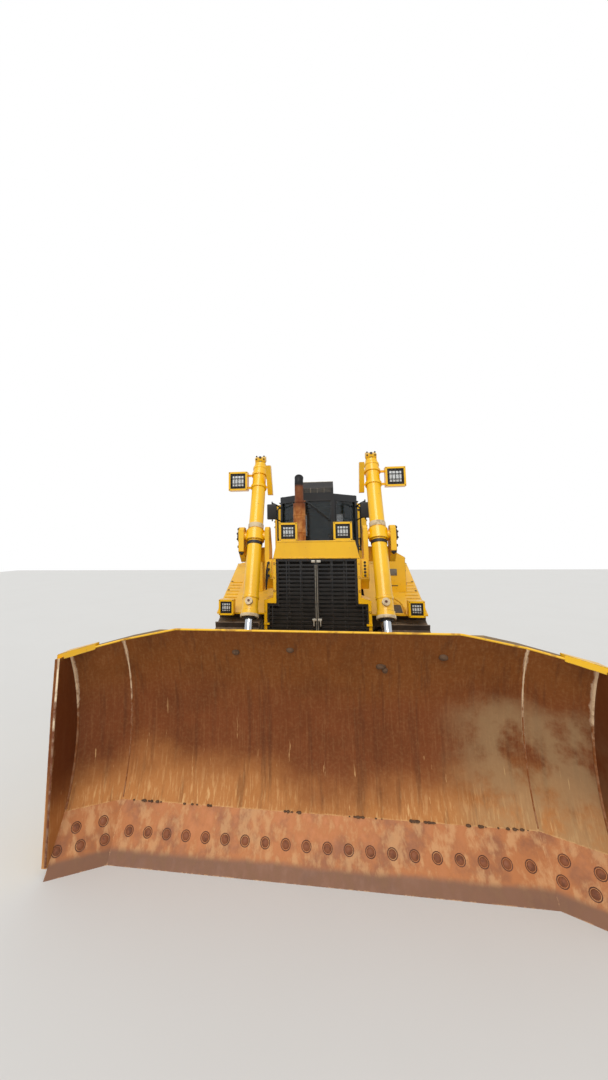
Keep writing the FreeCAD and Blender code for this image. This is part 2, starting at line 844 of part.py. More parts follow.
grilleKnuckle = 90.0
grilleKnuckleZs = (guardSill + doorGap + 90, guardStepZ - guardWall - doorGap - 200)
guardLugs = []
for side in (-1, 1):
    for z in grilleKnuckleZs:
        inner = side * (grilleHingeX - 9)
        outer = side * guardLowHalf
        guardLugs.append(box(min(inner, outer), max(inner, outer), grilleHingeY - 9, guardFront,
                             z - 22 - seatGap, z - seatGap))
nodes["radiator_guard"] = guardBody.multiFuse(guardLugs)
nodes["grille_door_left"] = grilleDoor()
nodes["grille_door_right"] = mirrored(nodes["grille_door_left"])

# Yokes on the guard's sides carry the lift cylinders' trunnions
yokeOuterFace = liftX + yokeInner
yokeOuterThick = 62.0
yokeFrontY = -1478.0
yokeWebY = -1316.0
yokeFoot = 1850.0
yokeHole = liftPinRadius + pinGap


def liftYoke():
    head = [
        (yokeFrontY, guardPanelZ),
        (yokeFrontY, liftZ + 70),
        (liftY - 20, liftZ + 105),
        (liftY + 60, liftZ + 95),
        (guardRear - 20, guardPanelZ + 100),
        (guardRear - 20, guardPanelZ),
    ]
    inside = slabX(head, yokeInnerFace, liftX - yokeInner)
    cheekPlate = slabX([
        (yokeFrontY, yokeFoot + 120),
        (yokeFrontY, guardPanelZ),
        (guardRear - 20, guardPanelZ),
        (guardRear - 20, yokeFoot),
        (yokeFrontY + 120, yokeFoot),
    ], guardHighHalf, liftX - yokeInner)
    outside = slabX([
        (yokeFrontY, liftZ - 170),
        (yokeFrontY, liftZ + 70),
        (liftY - 20, liftZ + 105),
        (liftY + 60, liftZ + 95),
        (guardRear - 40, liftZ - 60),
        (guardRear - 40, guardPanelZ - 40),
        (yokeWebY, guardPanelZ - 40),
    ], yokeOuterFace, yokeOuterFace + yokeOuterThick)
    web = box(guardHighHalf + 60, yokeOuterFace + yokeOuterThick,
              yokeWebY, guardRear - 40, guardPanelZ - 40, guardPanelZ + 130)
    yoke = fused(inside, cheekPlate, outside, web)
    return yoke.cut(barX(guardHighHalf - 1, liftX * 2, liftY, liftZ, yokeHole))


yokeLeft = liftYoke()
nodes["lift_yokes"] = group(yokeLeft, mirrored(yokeLeft))

# Engine, a plain block on the frame rails
nodes["engine_block"] = fused(
    box(-railOutside, railOutside, -1080, -240, frameRailTop, 1120),
    box(-310, 310, -1080, -240, 1120, 1860),
)

# Hood: a folded shell from the guard to the cab
cabFront = -120.0
hoodRear = cabFront - 40.0
hoodPlate = 12.0
hoodSkirt = 1380.0
hoodShoulder = 70.0


def hoodOutline(inset, skirt):
    half = guardTopHalf - inset
    top = hoodTop - 25 - inset
    return bothSides([(half, skirt), (half, top - hoodShoulder), (half - hoodShoulder, top)])


hoodShell = slabY(hoodOutline(0, hoodSkirt), guardRear, hoodRear)
hoodShell = hoodShell.cut(slabY(hoodOutline(hoodPlate, hoodSkirt - 1), guardRear - 1, hoodRear + 1))
louvreCount = 9
louvrePitch = 62.0
for i in range(louvreCount):
    z = 1560 + i * louvrePitch
    for y0 in (guardRear + 120, guardRear + 560):
        hoodShell = hoodShell.cut(box(-hoodWidth, hoodWidth, y0, y0 + 360, z, z + 22))
exhaustX = -230.0
exhaustY = -700.0
mufflerRadius = 80.0
pipeRadius = 57.0
mufflerTop = 2890.0
pipeTop = 3130.0
pipeBend = 150.0
hoodTopFace = hoodTop - 25.0
hoodShell = hoodShell.cut(rod(V(exhaustX, exhaustY, 2000), V(exhaustX, exhaustY, 2600), mufflerRadius + 4))
nodes["hood"] = hoodShell

# Exhaust: a fat muffler tube with a stack that bends to the rear
muffler = rod(V(exhaustX, exhaustY, 1860), V(exhaustX, exhaustY, mufflerTop), mufflerRadius)
stack = rod(V(exhaustX, exhaustY, mufflerTop - 5), V(exhaustX, exhaustY, pipeTop), pipeRadius)
tipRing = Part.Face(Part.Wire(Part.makeCircle(pipeRadius, V(exhaustX, exhaustY, pipeTop), Z)))
tip = tipRing.revolve(V(exhaustX, exhaustY + pipeBend, pipeTop), V(-1, 0, 0), 48)
exhaust = muffler.multiFuse([stack, tip])
bendCut = Part.Face(Part.Wire(Part.makeCircle(pipeRadius - 5, V(exhaustX, exhaustY, pipeTop), Z)))
bendCut = bendCut.revolve(V(exhaustX, exhaustY + pipeBend, pipeTop), V(-1, 0, 0), 50)
nodes["exhaust_stack"] = exhaust.cut(bendCut)

# Cab: a closed shell with a narrow windscreen and angled corners
cabHalf = 590.0
cabNose = 235.0
cabCorner = 230.0
cabRear = 1350.0
cabFloor = cabMountTop
cabWall = 50.0
cabRoof = 3080.0
cabCrown = 3125.0
glassThick = 8.0
platformZ = sprocketZ + sprocketPitchRadius + railHeight / 2 + shoePlate + grouserHeight + 45.0
platformThick = 20.0
doorLow = platformZ + platformThick + 20.0
doorHigh = 2960.0
doorFront = 330.0
doorRear = 1050.0
doorShut = 6.0
sillZ = 2440.0
lintelZ = 2985.0
screenMargin = 38.0
doorSkin = 40.0


def cabPlan(inset):
    """The cab's plan, moved inward by a wall."""
    slope = math.hypot(cabHalf - cabNose, cabCorner - cabFront)
    back = inset * (slope - (cabHalf - cabNose)) / (cabCorner - cabFront)
    side = inset * (slope - (cabCorner - cabFront)) / (cabHalf - cabNose)
    return [
        (cabNose - back, cabFront + inset),
        (cabHalf - inset, cabCorner + side),
        (cabHalf - inset, cabRear - inset),
        (-cabHalf + inset, cabRear - inset),
        (-cabHalf + inset, cabCorner + side),
        (-cabNose + back, cabFront + inset),
    ]


cabOuter = slabZ(cabPlan(0), cabFloor, cabRoof)
cabInner = slabZ(cabPlan(cabWall), cabFloor + cabWall, cabRoof - cabWall)
crown = slabY([
    (-cabHalf, cabRoof), (cabHalf, cabRoof), (cabNose, cabCrown), (-cabNose, cabCrown)], cabCorner, cabRear)
cornerRun = V(cabHalf - cabNose, cabCorner - cabFront, 0)
cornerLength = cornerRun.Length
cornerAlong = V(cornerRun.x, cornerRun.y, 0).normalize()
cornerNormal = V(cornerAlong.y, -cornerAlong.x, 0)


def cornerPane(margin, out, depth, z0, z1):
    """A block along the left corner wall, from `out` in front of it inward by `depth`."""
    start = V(cabNose, cabFront, 0) + cornerAlong * margin + cornerNormal * out
    end = V(cabNose, cabFront, 0) + cornerAlong * (cornerLength - margin) + cornerNormal * out
    inward = cornerNormal * -depth
    plan = [start, end, end + inward, start + inward]
    return slabZ([(p.x, p.y) for p in plan], z0, z1)


windscreen = (cabNose - screenMargin, sillZ - 60, lintelZ)
screenHole = box(-windscreen[0], windscreen[0], cabFront - 1, cabFront + cabWall + 1, windscreen[1], windscreen[2])
cornerHole = cornerPane(screenMargin, 20, cabWall + 60, sillZ - 60, lintelZ)
doorHole = box(cabHalf - cabWall - 1, cabHalf + 1, doorFront, doorRear, doorLow, doorHigh)
rearHole = box(-430, 430, cabRear - cabWall - 1, cabRear + 1, sillZ, lintelZ)
sideHole = box(cabHalf - cabWall - 1, cabHalf + 1, doorRear + 70, cabRear - 110, sillZ, lintelZ)
cabShell = cabOuter.fuse(crown).cut(cabInner)
for hole in (screenHole, rearHole, cornerHole, mirrored(cornerHole),
             doorHole, mirrored(doorHole), sideHole, mirrored(sideHole)):
    cabShell = cabShell.cut(hole)
cabHingeX = cabHalf + 24.0
cabHingeY = doorRear + 4.0
cabKnuckleZs = (2180.0, 2760.0)
cabLugs = []
for side in (-1, 1):
    for z in cabKnuckleZs:
        inner = side * cabHalf
        outer = side * (cabHingeX + 12)
        cabLugs.append(box(min(inner, outer), max(inner, outer), cabHingeY - 3, cabHingeY + 14,
                           z - 22 - seatGap, z - seatGap))
nodes["cab_shell"] = cabShell.removeSplitter().multiFuse(cabLugs)

paneIn = (cabWall - glassThick) / 2
glassFront = box(-windscreen[0], windscreen[0], cabFront + paneIn, cabFront + paneIn + glassThick,
                 windscreen[1], windscreen[2])
glassRear = box(-430, 430, cabRear - paneIn - glassThick, cabRear - paneIn, sillZ, lintelZ)
cornerGlass = cornerPane(screenMargin, -paneIn, glassThick, sillZ - 60, lintelZ)
cornerGlass = cornerGlass.common(cornerHole)
sideGlass = box(cabHalf - paneIn - glassThick, cabHalf - paneIn, doorRear + 70, cabRear - 110, sillZ, lintelZ)
nodes["cab_glass"] = group(glassFront, glassRear, cornerGlass, mirrored(cornerGlass),
                           sideGlass, mirrored(sideGlass))


def cabDoor():
    x1 = cabHalf + 14.0
    x0 = x1 - doorSkin
    leaf = box(x0, x1, doorFront + doorShut, doorRear - doorShut, doorLow + doorShut, doorHigh - doorShut)
    window = box(x0 - 1, x1 + 1, doorFront + 90, doorRear - 90, doorLow + 160, doorHigh - 90)
    handle = rod(V(x1 + 34, doorFront + 50, 2240), V(x1 + 34, doorFront + 50, 2440), 12.0)
    stubs = [box(x1 - 2, x1 + 34, doorFront + 42, doorFront + 58, z, z + 20) for z in (2250, 2410)]
    hinges = [rod(V(cabHingeX, cabHingeY, z), V(cabHingeX, cabHingeY, z + 90), 12.0) for z in cabKnuckleZs]
    straps = [box(x1 - 1, x1 + 12, doorRear - 90, doorRear, z + 10, z + 80) for z in cabKnuckleZs]
    return leaf.cut(window).multiFuse([handle] + stubs + hinges + straps)


def doorGlass():
    x1 = cabHalf + 14.0 - doorSkin / 2 + glassThick / 2
    return box(x1 - glassThick, x1, doorFront + 90, doorRear - 90, doorLow + 160, doorHigh - 90)


nodes["cab_door_left"] = cabDoor()
nodes["cab_door_right"] = mirrored(nodes["cab_door_left"])
nodes["door_glass_left"] = doorGlass()
nodes["door_glass_right"] = mirrored(nodes["door_glass_left"])

# Cooling unit on the front of the roof
unitFront = -50.0
roofUnit = slabX([
    (cabFront + 10, cabRoof),
    (cabFront + 10, cabRoof + 90),
    (unitFront + 60, cabRoof + 200),
    (480, cabRoof + 200),
    (480, cabCrown),
    (cabCorner, cabCrown),
    (cabCorner, cabRoof),
], -cabNose, cabNose)
nodes["roof_unit"] = roofUnit

# Operator's seat on a pedestal, and the console in front of it
seatY = 780.0
floorZ = cabFloor + cabWall
seatBase = box(-200, 200, seatY - 180, seatY + 180, floorZ, floorZ + 380)
cushion = box(-250, 250, seatY - 260, seatY + 240, floorZ + 380, floorZ + 500)
backrest = slabX([
    (seatY + 180, floorZ + 500),
    (seatY + 240, floorZ + 500),
    (seatY + 380, floorZ + 1130),
    (seatY + 280, floorZ + 1130),
], -240, 240)
armRests = [box(side * 300 - 50, side * 300 + 50, seatY - 200, seatY + 220, floorZ + 620, floorZ + 680)
            for side in (-1, 1)]
armPosts = [box(side * 270 - 20, side * 270 + 20, seatY + 20, seatY + 80, floorZ + 420, floorZ + 620)
            for side in (-1, 1)]
nodes["seat"] = seatBase.multiFuse([cushion, backrest] + armRests + armPosts)
dash = slabX([
    (cabFront + cabWall + 20, floorZ),
    (cabFront + cabWall + 20, 2470),
    (cabFront + cabWall + 180, 2440),
    (cabFront + cabWall + 260, floorZ),
], -200, 200)
levers = [rod(V(side * 300, 640, floorZ + 680), V(side * 300, 640, floorZ + 850), 16.0) for side in (-1, 1)]
nodes["console"] = dash
nodes["seat"] = nodes["seat"].multiFuse(levers)

# Roll-over frame: two posts behind the cab with a cross beam
postY0 = cabRear + 30.0
postY1 = postY0 + 150.0
postX0 = 668.0
postX1 = 832.0
postTop = 3070.0
footOut = trackX - shoeWidth / 2 - 20.0
posts = [slabX([
    (postY0 - 30, caseTop),
    (postY1 + 40, caseTop),
    (postY1, 2300),
    (postY1, postTop),
    (postY0, postTop),
    (postY0, 2300),
], postX0, postX1)]
posts.append(mirrored(posts[0]))
crossBeam = box(-postX0, postX0, postY0, postY1, postTop - 190, postTop)
arm = box(caseHalfWidth, footOut, postY0 - 30, postY1 + 40, caseTop - 350, caseTop - 130)
leg = box(postX0, footOut, postY0 - 30, postY1 + 40, caseTop - 350, caseTop)
nodes["rollover_frame"] = fused(*posts, crossBeam, arm, leg, mirrored(arm), mirrored(leg))

# Fenders: a plate over the rising track run and a level platform beside the cab
fenderInside = cabHalf + 8.0
fenderOutside = trackOutside - 2.0
fenderNose = -800.0
fenderRear = 1340.0
fenderLift = 55.0
fenderWall = 14.0
chainReach = railHeight / 2 + shoePlate + grouserHeight
runRise = outwardAngle(wheels[2], wheels[0]) - math.pi / 2


def fenderLine(y):
    """Height of the fender's underside over the rising run of the track."""
    radius = idlerPitchRadius + chainReach + fenderLift
    y0 = -idlerY - radius * math.sin(runRise)
    z0 = idlerZ + radius * math.cos(runRise)
    return z0 + (y - y0) * math.tan(runRise)


kneeY = (platformZ - fenderLine(0)) / math.tan(runRise)


def fender():
    t = platformThick
    top = slabX([
        (fenderNose, fenderLine(fenderNose)),
        (kneeY, platformZ),
        (fenderRear, platformZ),
        (fenderRear, platformZ + t),
        (kneeY, platformZ + t),
        (fenderNose, fenderLine(fenderNose) + t),
    ], fenderInside, fenderOutside)
    wallLow = sprocketZ + driveRadius + 30.0
    wall = slabX([
        (-100.0, fenderLine(-100.0)),
        (kneeY, platformZ),
        (fenderRear, platformZ),
        (fenderRear, wallLow),
        (kneeY, wallLow),
    ], fenderInside, fenderInside + fenderWall)
    leg = box(caseHalfWidth, fenderInside + fenderWall, 1080, 1200, 1490, cabFloor - 15)
    strap = box(fenderInside, fenderInside + fenderWall, 1080, 1200, 1490, wallLow + 20)
    return fused(top, wall, leg, strap)


nodes["fender_left"] = fender()
nodes["fender_right"] = mirrored(nodes["fender_left"])

# Hydraulic tank on the left fender, tool locker on the right one
tankChamfer = 95.0


def fenderBox(x0, x1, y0, y1, top, chamfer):
    t = platformThick
    body = slabX([
        (y0, fenderLine(y0) + t),
        (kneeY, platformZ + t) if y1 > kneeY else (y1, fenderLine(y1) + t),
        (y1, max(platformZ + t, fenderLine(y1) + t) if y1 > kneeY else fenderLine(y1) + t + 1),
        (y1, top),
        (y0, top),
    ], x0, x1)
    corner = slabY([(x1 + 1, top + 1), (x1 - chamfer, top + 1), (x1 + 1, top - chamfer * 0.6)], y0 - 1, y1 + 1)
    return body.cut(corner)


nodes["hydraulic_tank"] = fenderBox(915.0, 1165.0, -330.0, 240.0, 2215.0, tankChamfer)
nodes["tool_locker"] = mirrored(fenderBox(790.0, 1020.0, -330.0, 240.0, 2160.0, 40.0))

# Fuel tank across the rear, on the frame's two brackets
tankFront = postY1 + 46.0
nodes["fuel_tank"] = slabX([
    (tankFront, tankBottom),
    (2010.0, tankBottom),
    (2070.0, 1560.0),
    (2070.0, 2260.0),
    (1960.0, 2440.0),
    (tankFront, 2440.0),
], -640.0, 640.0)

# Lamps: square guards with a deep face
lampDepth = 120.0
lampWall = 22.0


def lamp(x, y, z, size):
    half = size / 2
    body = box(x - half, x + half, y, y + lampDepth, z - half, z + half)
    inner = half - lampWall
    recess = box(x - inner, x + inner, y - 1, y + 40, z - inner, z + inner)
    lens = box(x - inner + 14, x + inner - 14, y + 22, y + 41, z - inner + 14, z + inner - 14)
    return body.cut(recess).fuse(lens)


hoodLampSize = 205.0
hoodLampX = 305.0
fenderLampSize = 190.0
fenderLampX = 1170.0
fenderLampY = fenderNose - lampDepth
fenderLampZ = fenderLine(fenderNose) + fenderLampSize / 2 + 4.0
nodes["hood_lamps"] = group(*[
    lamp(side * hoodLampX, guardFront, hoodTop + hoodLampSize / 2, hoodLampSize) for side in (-1, 1)])
nodes["fender_lamps"] = group(*[
    lamp(side * fenderLampX, fenderLampY, fenderLampZ, fenderLampSize) for side in (-1, 1)])

# Work lamps on brackets clamped to the lift cylinders' barrels
liftLampUp = 751.0
liftLampOut = 256.0
liftLampSize = 235.0
clampGap = 180.0


def liftLamp():
    centre, eye, down = liftFrame()
    middle = centre - down * liftLampUp
    face = middle.y - 90.0
    parts = [lamp(liftX + liftLampOut, face, middle.z, liftLampSize)]
    clamps = []
    for side in (-1, 1):
        spot = middle + down * (side * clampGap / 2)
        ring = rod(spot - down * 17, spot + down * 17, liftBarrelRadius + 14)
        clamps.append(ring)
        clamps.append(box(liftX + liftBarrelRadius - 10, liftX + liftLampOut - liftLampSize / 2 + 1,
                          spot.y - 14, spot.y + 14, spot.z - 14, spot.z + 14))
    hoseGuard = slabX([
        (middle.y - 10, middle.z - 170),
        (middle.y + 70, middle.z - 170),
        (middle.y - 90, middle.z + 170),
        (middle.y - 170, middle.z + 170),
    ], liftX - 168, liftX - 108)
    tie = [box(liftX - 112, liftX - liftBarrelRadius + 6, spot.y - 12, spot.y + 12, spot.z - 12, spot.z + 12)
           for spot in (middle + down * (clampGap / 2), middle - down * (clampGap / 2))]
    whole = parts[0].multiFuse(parts[1:] + clamps + tie + [hoseGuard])
    bore = rod(middle - down * 400, middle + down * 400, liftBarrelRadius + pinGap)
    return whole.cut(bore)


nodes["lift_lamp_left"] = liftLamp()
nodes["lift_lamp_right"] = mirrored(nodes["lift_lamp_left"])

# Ripper: a parallelogram behind the case carries a beam with one shank
linkRootY = 1780.0
linkRootZ = 700.0
linkRun = 1350.0
linkFall = -40.0
linkRise = 430.0
rootPlateIn = 320.0
rootPlateOut = 380.0
ripperPin = 35.0
stubPin = 45.0
lowerIn = 392.0
lowerOut = 492.0
upperIn = 240.0
upperOut = 300.0
ripperEye = 62.0
cylinderX = 130.0
cylinderHalf = 35.0
cylinderY = 1640.0
cylinderZ = 1330.0
cylinderEyeRun = 1000.0
cylinderEyeRise = 150.0
ripperBarrel = 70.0
ripperRodRadius = 34.0
ripperGland = 870.0
ripperRodInside = 480.0
washer = 6.0


def ripperBracket():
    plates = [slabX([
        (caseRear, 660.0),
        (caseRear, 1420.0),
        (cylinderY + 40, 1420.0),
        (linkRootY + 80, linkRootZ + linkRise + 60),
        (linkRootY + 95, linkRootZ - 30),
        (linkRootY, linkRootZ - 90),
        (caseRear + 60, 640.0),
    ], x0, x1) for x0, x1 in ((rootPlateIn, rootPlateOut), (-rootPlateOut, -rootPlateIn))]
    pins = [
        barX(upperIn - 25, rootPlateIn + 10, linkRootY, linkRootZ + linkRise, ripperPin),
        barX(-rootPlateIn - 10, 25 - upperIn, linkRootY, linkRootZ + linkRise, ripperPin),
        barX(-rootPlateIn - 10, rootPlateIn + 10, cylinderY, cylinderZ, ripperPin),
        barX(rootPlateIn + 10, lowerOut + 10, linkRootY, linkRootZ, stubPin),
        barX(-lowerOut - 10, -rootPlateIn - 10, linkRootY, linkRootZ, stubPin),
    ]
    backPlate = box(-rootPlateIn - 5, rootPlateIn + 5, caseRear, caseRear + 16, 900, 1340)
    return plates[0].multiFuse(plates[1:] + pins + [backPlate])


def ripperFrame():
    """Lower link: two arms and a cross plate that carries the cylinders' lugs."""
    y0, z0 = linkRootY, linkRootZ
    y1, z1 = y0 + linkRun, z0 + linkFall
    solids = []
    for a, b in ((lowerIn, lowerOut), (-lowerOut, -lowerIn)):
        solids.append(slabX([(y0, z0 - 95), (y1, z1 - 85), (y1, z1 + 85), (y0, z0 + 95)], a, b))
        solids.append(barX(a, b, y0, z0, 95.0))
        solids.append(barX(a, b, y1, z1, 85.0))
    crossY = y0 + cylinderEyeRun
    crossZ = z0 + linkFall * cylinderEyeRun / linkRun
    solids.append(box(-lowerIn - 5, lowerIn + 5, crossY - 230, crossY + 130, crossZ - 60, crossZ + 35))
    for x in (-cylinderX, cylinderX):
        for side in (-1, 1):
            inner = x + side * (cylinderHalf + 10)
            outer = inner + side * 20
            solids.append(slabX([
                (crossY - 130, crossZ + 25),
                (crossY + 110, crossZ + 25),
                (y0 + cylinderEyeRun + 45, z0 + cylinderEyeRise + 20),
                (y0 + cylinderEyeRun - 45, z0 + cylinderEyeRise + 20),
            ], min(inner, outer), max(inner, outer)))
    frame = solids[0].multiFuse(solids[1:])
    for y, z in ((y0, z0), (y1, z1)):
        frame = frame.cut(barX(-lowerOut - 5, lowerOut + 5, y, z, stubPin + pinGap))
    return frame


def ripperLinks():
    y0, z0 = linkRootY, linkRootZ + linkRise
    y1, z1 = y0 + linkRun, z0 + linkFall
    bars = []
    for a, b in ((upperIn, upperOut), (-upperOut, -upperIn)):
        bar = slabX([(y0, z0 - 48), (y1, z1 - 48), (y1, z1 + 48), (y0, z0 + 48)], a, b)
        bar = bar.multiFuse([barX(a, b, y0, z0, ripperEye), barX(a, b, y1, z1, ripperEye)])
        for y, z in ((y0, z0), (y1, z1)):
            bar = bar.cut(barX(a - 5, b + 5, y, z, ripperPin + pinGap))
        bars.append(bar)
    return group(*bars)


beamY = linkRootY + linkRun
beamZ = linkRootZ + linkFall
beamFront = beamY - 78.0
beamRear = beamY + 530.0
beamBottom = beamZ - 100.0
beamTop = beamZ + 330.0
pocketFront = beamY + 265.0
shankDepth = 225.0
shankHalf = 38.0
pocketGap = 1.0


def ripperBeam():
    block = slabX([
        (beamFront, beamBottom + 40),
        (beamFront + 60, beamBottom),
        (beamRear, beamBottom + 60),
        (beamRear, beamTop - 60),
        (beamRear - 60, beamTop),
        (beamFront + 120, beamTop),
        (beamFront, beamTop - 60),
    ], -rootPlateOut, rootPlateOut)
    pocket = box(-shankHalf - pocketGap, shankHalf + pocketGap, pocketFront - pocketGap,
                 pocketFront + shankDepth + pocketGap, beamBottom - 10, beamTop + 10)
    cheeks = [slabX([
        (beamY - 75, beamTop - 80),
        (beamY + 180, beamTop - 80),
        (beamY + 65, beamZ + linkRise + 62),
        (beamY - 65, beamZ + linkRise + 62),
    ], a, b) for a, b in ((rootPlateIn, rootPlateOut), (-rootPlateOut, -rootPlateIn))]
    relief = box(-rootPlateIn, rootPlateIn, beamFront - 10, beamY + 75, beamTop - 60, beamTop + 10)
    pins = [
        barX(-rootPlateIn - 10, rootPlateIn + 10, beamY, beamZ + linkRise, ripperPin),
        barX(rootPlateOut - 10, lowerOut + 10, beamY, beamZ, stubPin),
        barX(-lowerOut - 10, -rootPlateOut + 10, beamY, beamZ, stubPin),
    ]
    return block.cut(relief).multiFuse(cheeks + pins).cut(pocket)


nodes["ripper_bracket"] = ripperBracket()
nodes["ripper_frame"] = ripperFrame()
nodes["ripper_links"] = ripperLinks()
nodes["ripper_beam"] = ripperBeam()

shankTip = 20.0
shankHead = 1260.0
shank = slabX([
    (pocketFront, shankHead),
    (pocketFront + shankDepth, shankHead),
    (pocketFront + shankDepth, 540.0),
    (pocketFront + shankDepth - 60, 350.0),
    (pocketFront + 30, 150.0),
    (pocketFront - 190, shankTip),
    (pocketFront - 210, shankTip + 25),
    (pocketFront - 80, 200.0),
    (pocketFront - 10, 390.0),
    (pocketFront, 540.0),
], -shankHalf, shankHalf)
shankPin = barX(-shankHalf - pocketGap, shankHalf + pocketGap, pocketFront + shankDepth / 2, beamZ + 90, 30.0)
nodes["ripper_shank"] = shank.fuse(shankPin)

cylinderFoot = V(0, cylinderY, cylinderZ)
cylinderHead = V(0, linkRootY + cylinderEyeRun, linkRootZ + cylinderEyeRise)
cylinderSpan = (cylinderHead - cylinderFoot).Length
ripperBarrels = []
ripperRods = []
for x in (-cylinderX, cylinderX):
    start = cylinderFoot + V(x, 0, 0)
    end = cylinderHead + V(x, 0, 0)
    along = (end - start).normalize()
    tube = rod(start + along * (ripperEye - 12), start + along * ripperGland, ripperBarrel)
    eyeSolid = barX(x - cylinderHalf, x + cylinderHalf, cylinderY, cylinderZ, ripperEye)
    bore = rod(start + along * 120, start + along * (ripperGland + 10), ripperRodRadius + pinGap)
    pinHole = barX(x - 60, x + 60, cylinderY, cylinderZ, ripperPin + pinGap)
    ripperBarrels.append(tube.fuse(eyeSolid).cut(bore).cut(pinHole))
    stem = rod(start + along * ripperRodInside, end - along * 38, ripperRodRadius)
    ripperRods.append(stem.fuse(barX(x - cylinderHalf, x + cylinderHalf, cylinderHead.y, cylinderHead.z, 48.0)))
nodes["ripper_barrels"] = group(*ripperBarrels)
nodes["ripper_rods"] = group(*ripperRods)

# The frame's origin is under the middle of the whole machine
frontmost = min(shape.BoundBox.YMin for shape in nodes.values())
rearmost = max(shape.BoundBox.YMax for shape in nodes.values())
middleY = (frontmost + rearmost) / 2
for name, shape in nodes.items():
    placed = shape.translated(V(0, -middleY, 0))
    placed.exportStep("parts/" + name + ".step")
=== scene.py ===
import bpy
import bmesh
import json
import math
import random
from mathutils import Matrix, Vector

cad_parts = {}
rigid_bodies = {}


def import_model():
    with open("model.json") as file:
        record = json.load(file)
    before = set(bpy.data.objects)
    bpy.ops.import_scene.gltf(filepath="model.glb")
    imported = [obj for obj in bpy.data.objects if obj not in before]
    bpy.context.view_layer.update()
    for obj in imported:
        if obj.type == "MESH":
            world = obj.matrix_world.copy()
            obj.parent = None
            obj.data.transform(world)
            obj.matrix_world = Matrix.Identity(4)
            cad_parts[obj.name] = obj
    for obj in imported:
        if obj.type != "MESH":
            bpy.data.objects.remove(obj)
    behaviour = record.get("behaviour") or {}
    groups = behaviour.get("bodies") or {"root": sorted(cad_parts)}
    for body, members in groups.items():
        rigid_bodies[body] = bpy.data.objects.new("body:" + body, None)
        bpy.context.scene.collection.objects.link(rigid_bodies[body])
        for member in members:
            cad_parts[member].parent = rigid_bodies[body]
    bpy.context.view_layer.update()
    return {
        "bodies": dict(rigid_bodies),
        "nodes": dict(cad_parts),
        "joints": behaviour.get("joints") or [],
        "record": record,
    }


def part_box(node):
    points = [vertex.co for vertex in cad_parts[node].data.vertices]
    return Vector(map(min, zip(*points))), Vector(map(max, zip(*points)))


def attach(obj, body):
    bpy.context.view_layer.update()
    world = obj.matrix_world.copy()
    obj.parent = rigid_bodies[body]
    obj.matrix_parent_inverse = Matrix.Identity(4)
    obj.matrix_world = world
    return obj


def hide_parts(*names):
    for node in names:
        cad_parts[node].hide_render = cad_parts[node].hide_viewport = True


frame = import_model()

print("frame loaded")
random.seed(7)
full = math.pi * 2

# ---- hand tools


def srgb(red, green, blue):
    def linear(value):
        value /= 255
        return value / 12.92 if value <= 0.04045 else ((value + 0.055) / 1.055) ** 2.4
    return (linear(red), linear(green), linear(blue), 1.0)


def clearSelection():
    if bpy.context.object and bpy.context.object.mode != "OBJECT":
        bpy.ops.object.mode_set(mode="OBJECT")
    bpy.ops.object.select_all(action="DESELECT")


def applyPlace(piece):
    clearSelection()
    piece.select_set(True)
    bpy.context.view_layer.objects.active = piece
    bpy.ops.object.transform_apply(location=True, rotation=True, scale=True)
    return piece


def addBox(low, high, bevel=0.0, segments=2):
    clearSelection()
    low, high = Vector(low), Vector(high)
    bpy.ops.mesh.primitive_cube_add(size=1.0, location=(low + high) / 2)
    piece = bpy.context.object
    piece.scale = high - low
    applyPlace(piece)
    if bevel:
        bpy.ops.object.mode_set(mode="EDIT")
        bpy.ops.mesh.select_all(action="SELECT")
        bpy.ops.mesh.bevel(offset=bevel, segments=segments, affect="EDGES")
        bpy.ops.object.mode_set(mode="OBJECT")
    return piece


def addRod(start, end, radius, sides=20, bevel=0.0, endRadius=None):
    clearSelection()
    start, end = Vector(start), Vector(end)
    along = end - start
    bpy.ops.mesh.primitive_cone_add(
        vertices=sides, radius1=radius, radius2=radius if endRadius is None else endRadius,
        depth=along.length, location=(start + end) / 2)
    piece = bpy.context.object
    piece.rotation_mode = "QUATERNION"
    piece.rotation_quaternion = along.to_track_quat("Z", "Y")
    applyPlace(piece)
    if bevel:
        mesh = piece.data
        bpy.ops.object.mode_set(mode="EDIT")
        bpy.ops.mesh.select_all(action="DESELECT")
        bpy.ops.object.mode_set(mode="OBJECT")
        for face in mesh.polygons:
            face.select = len(face.vertices) > 4
        bpy.ops.object.mode_set(mode="EDIT")
        bpy.ops.mesh.region_to_loop()
        bpy.ops.mesh.bevel(offset=bevel, segments=2, affect="EDGES")
        bpy.ops.object.mode_set(mode="OBJECT")
    return piece


def joinPieces(name, pieces):
    clearSelection()
    for piece in pieces:
        piece.select_set(True)
    bpy.context.view_layer.objects.active = pieces[0]
    if len(pieces) > 1:
        bpy.ops.object.join()
    joined = bpy.context.object
    joined.name = name
    joined.data.name = name
    return joined


def copyPiece(piece, move=(0, 0, 0), turn=None):
    twin = piece.copy()
    twin.data = piece.data.copy()
    bpy.context.collection.objects.link(twin)
    if turn:
        twin.data.transform(turn)
    twin.data.transform(Matrix.Translation(Vector(move)))
    return twin


def mirrorPiece(piece):
    twin = copyPiece(piece, turn=Matrix.Scale(-1, 4, (1, 0, 0)))
    clearSelection()
    twin.select_set(True)
    bpy.context.view_layer.objects.active = twin
    bpy.ops.object.mode_set(mode="EDIT")
    bpy.ops.mesh.select_all(action="SELECT")
    bpy.ops.mesh.normals_make_consistent(inside=False)
    bpy.ops.object.mode_set(mode="OBJECT")
    return twin


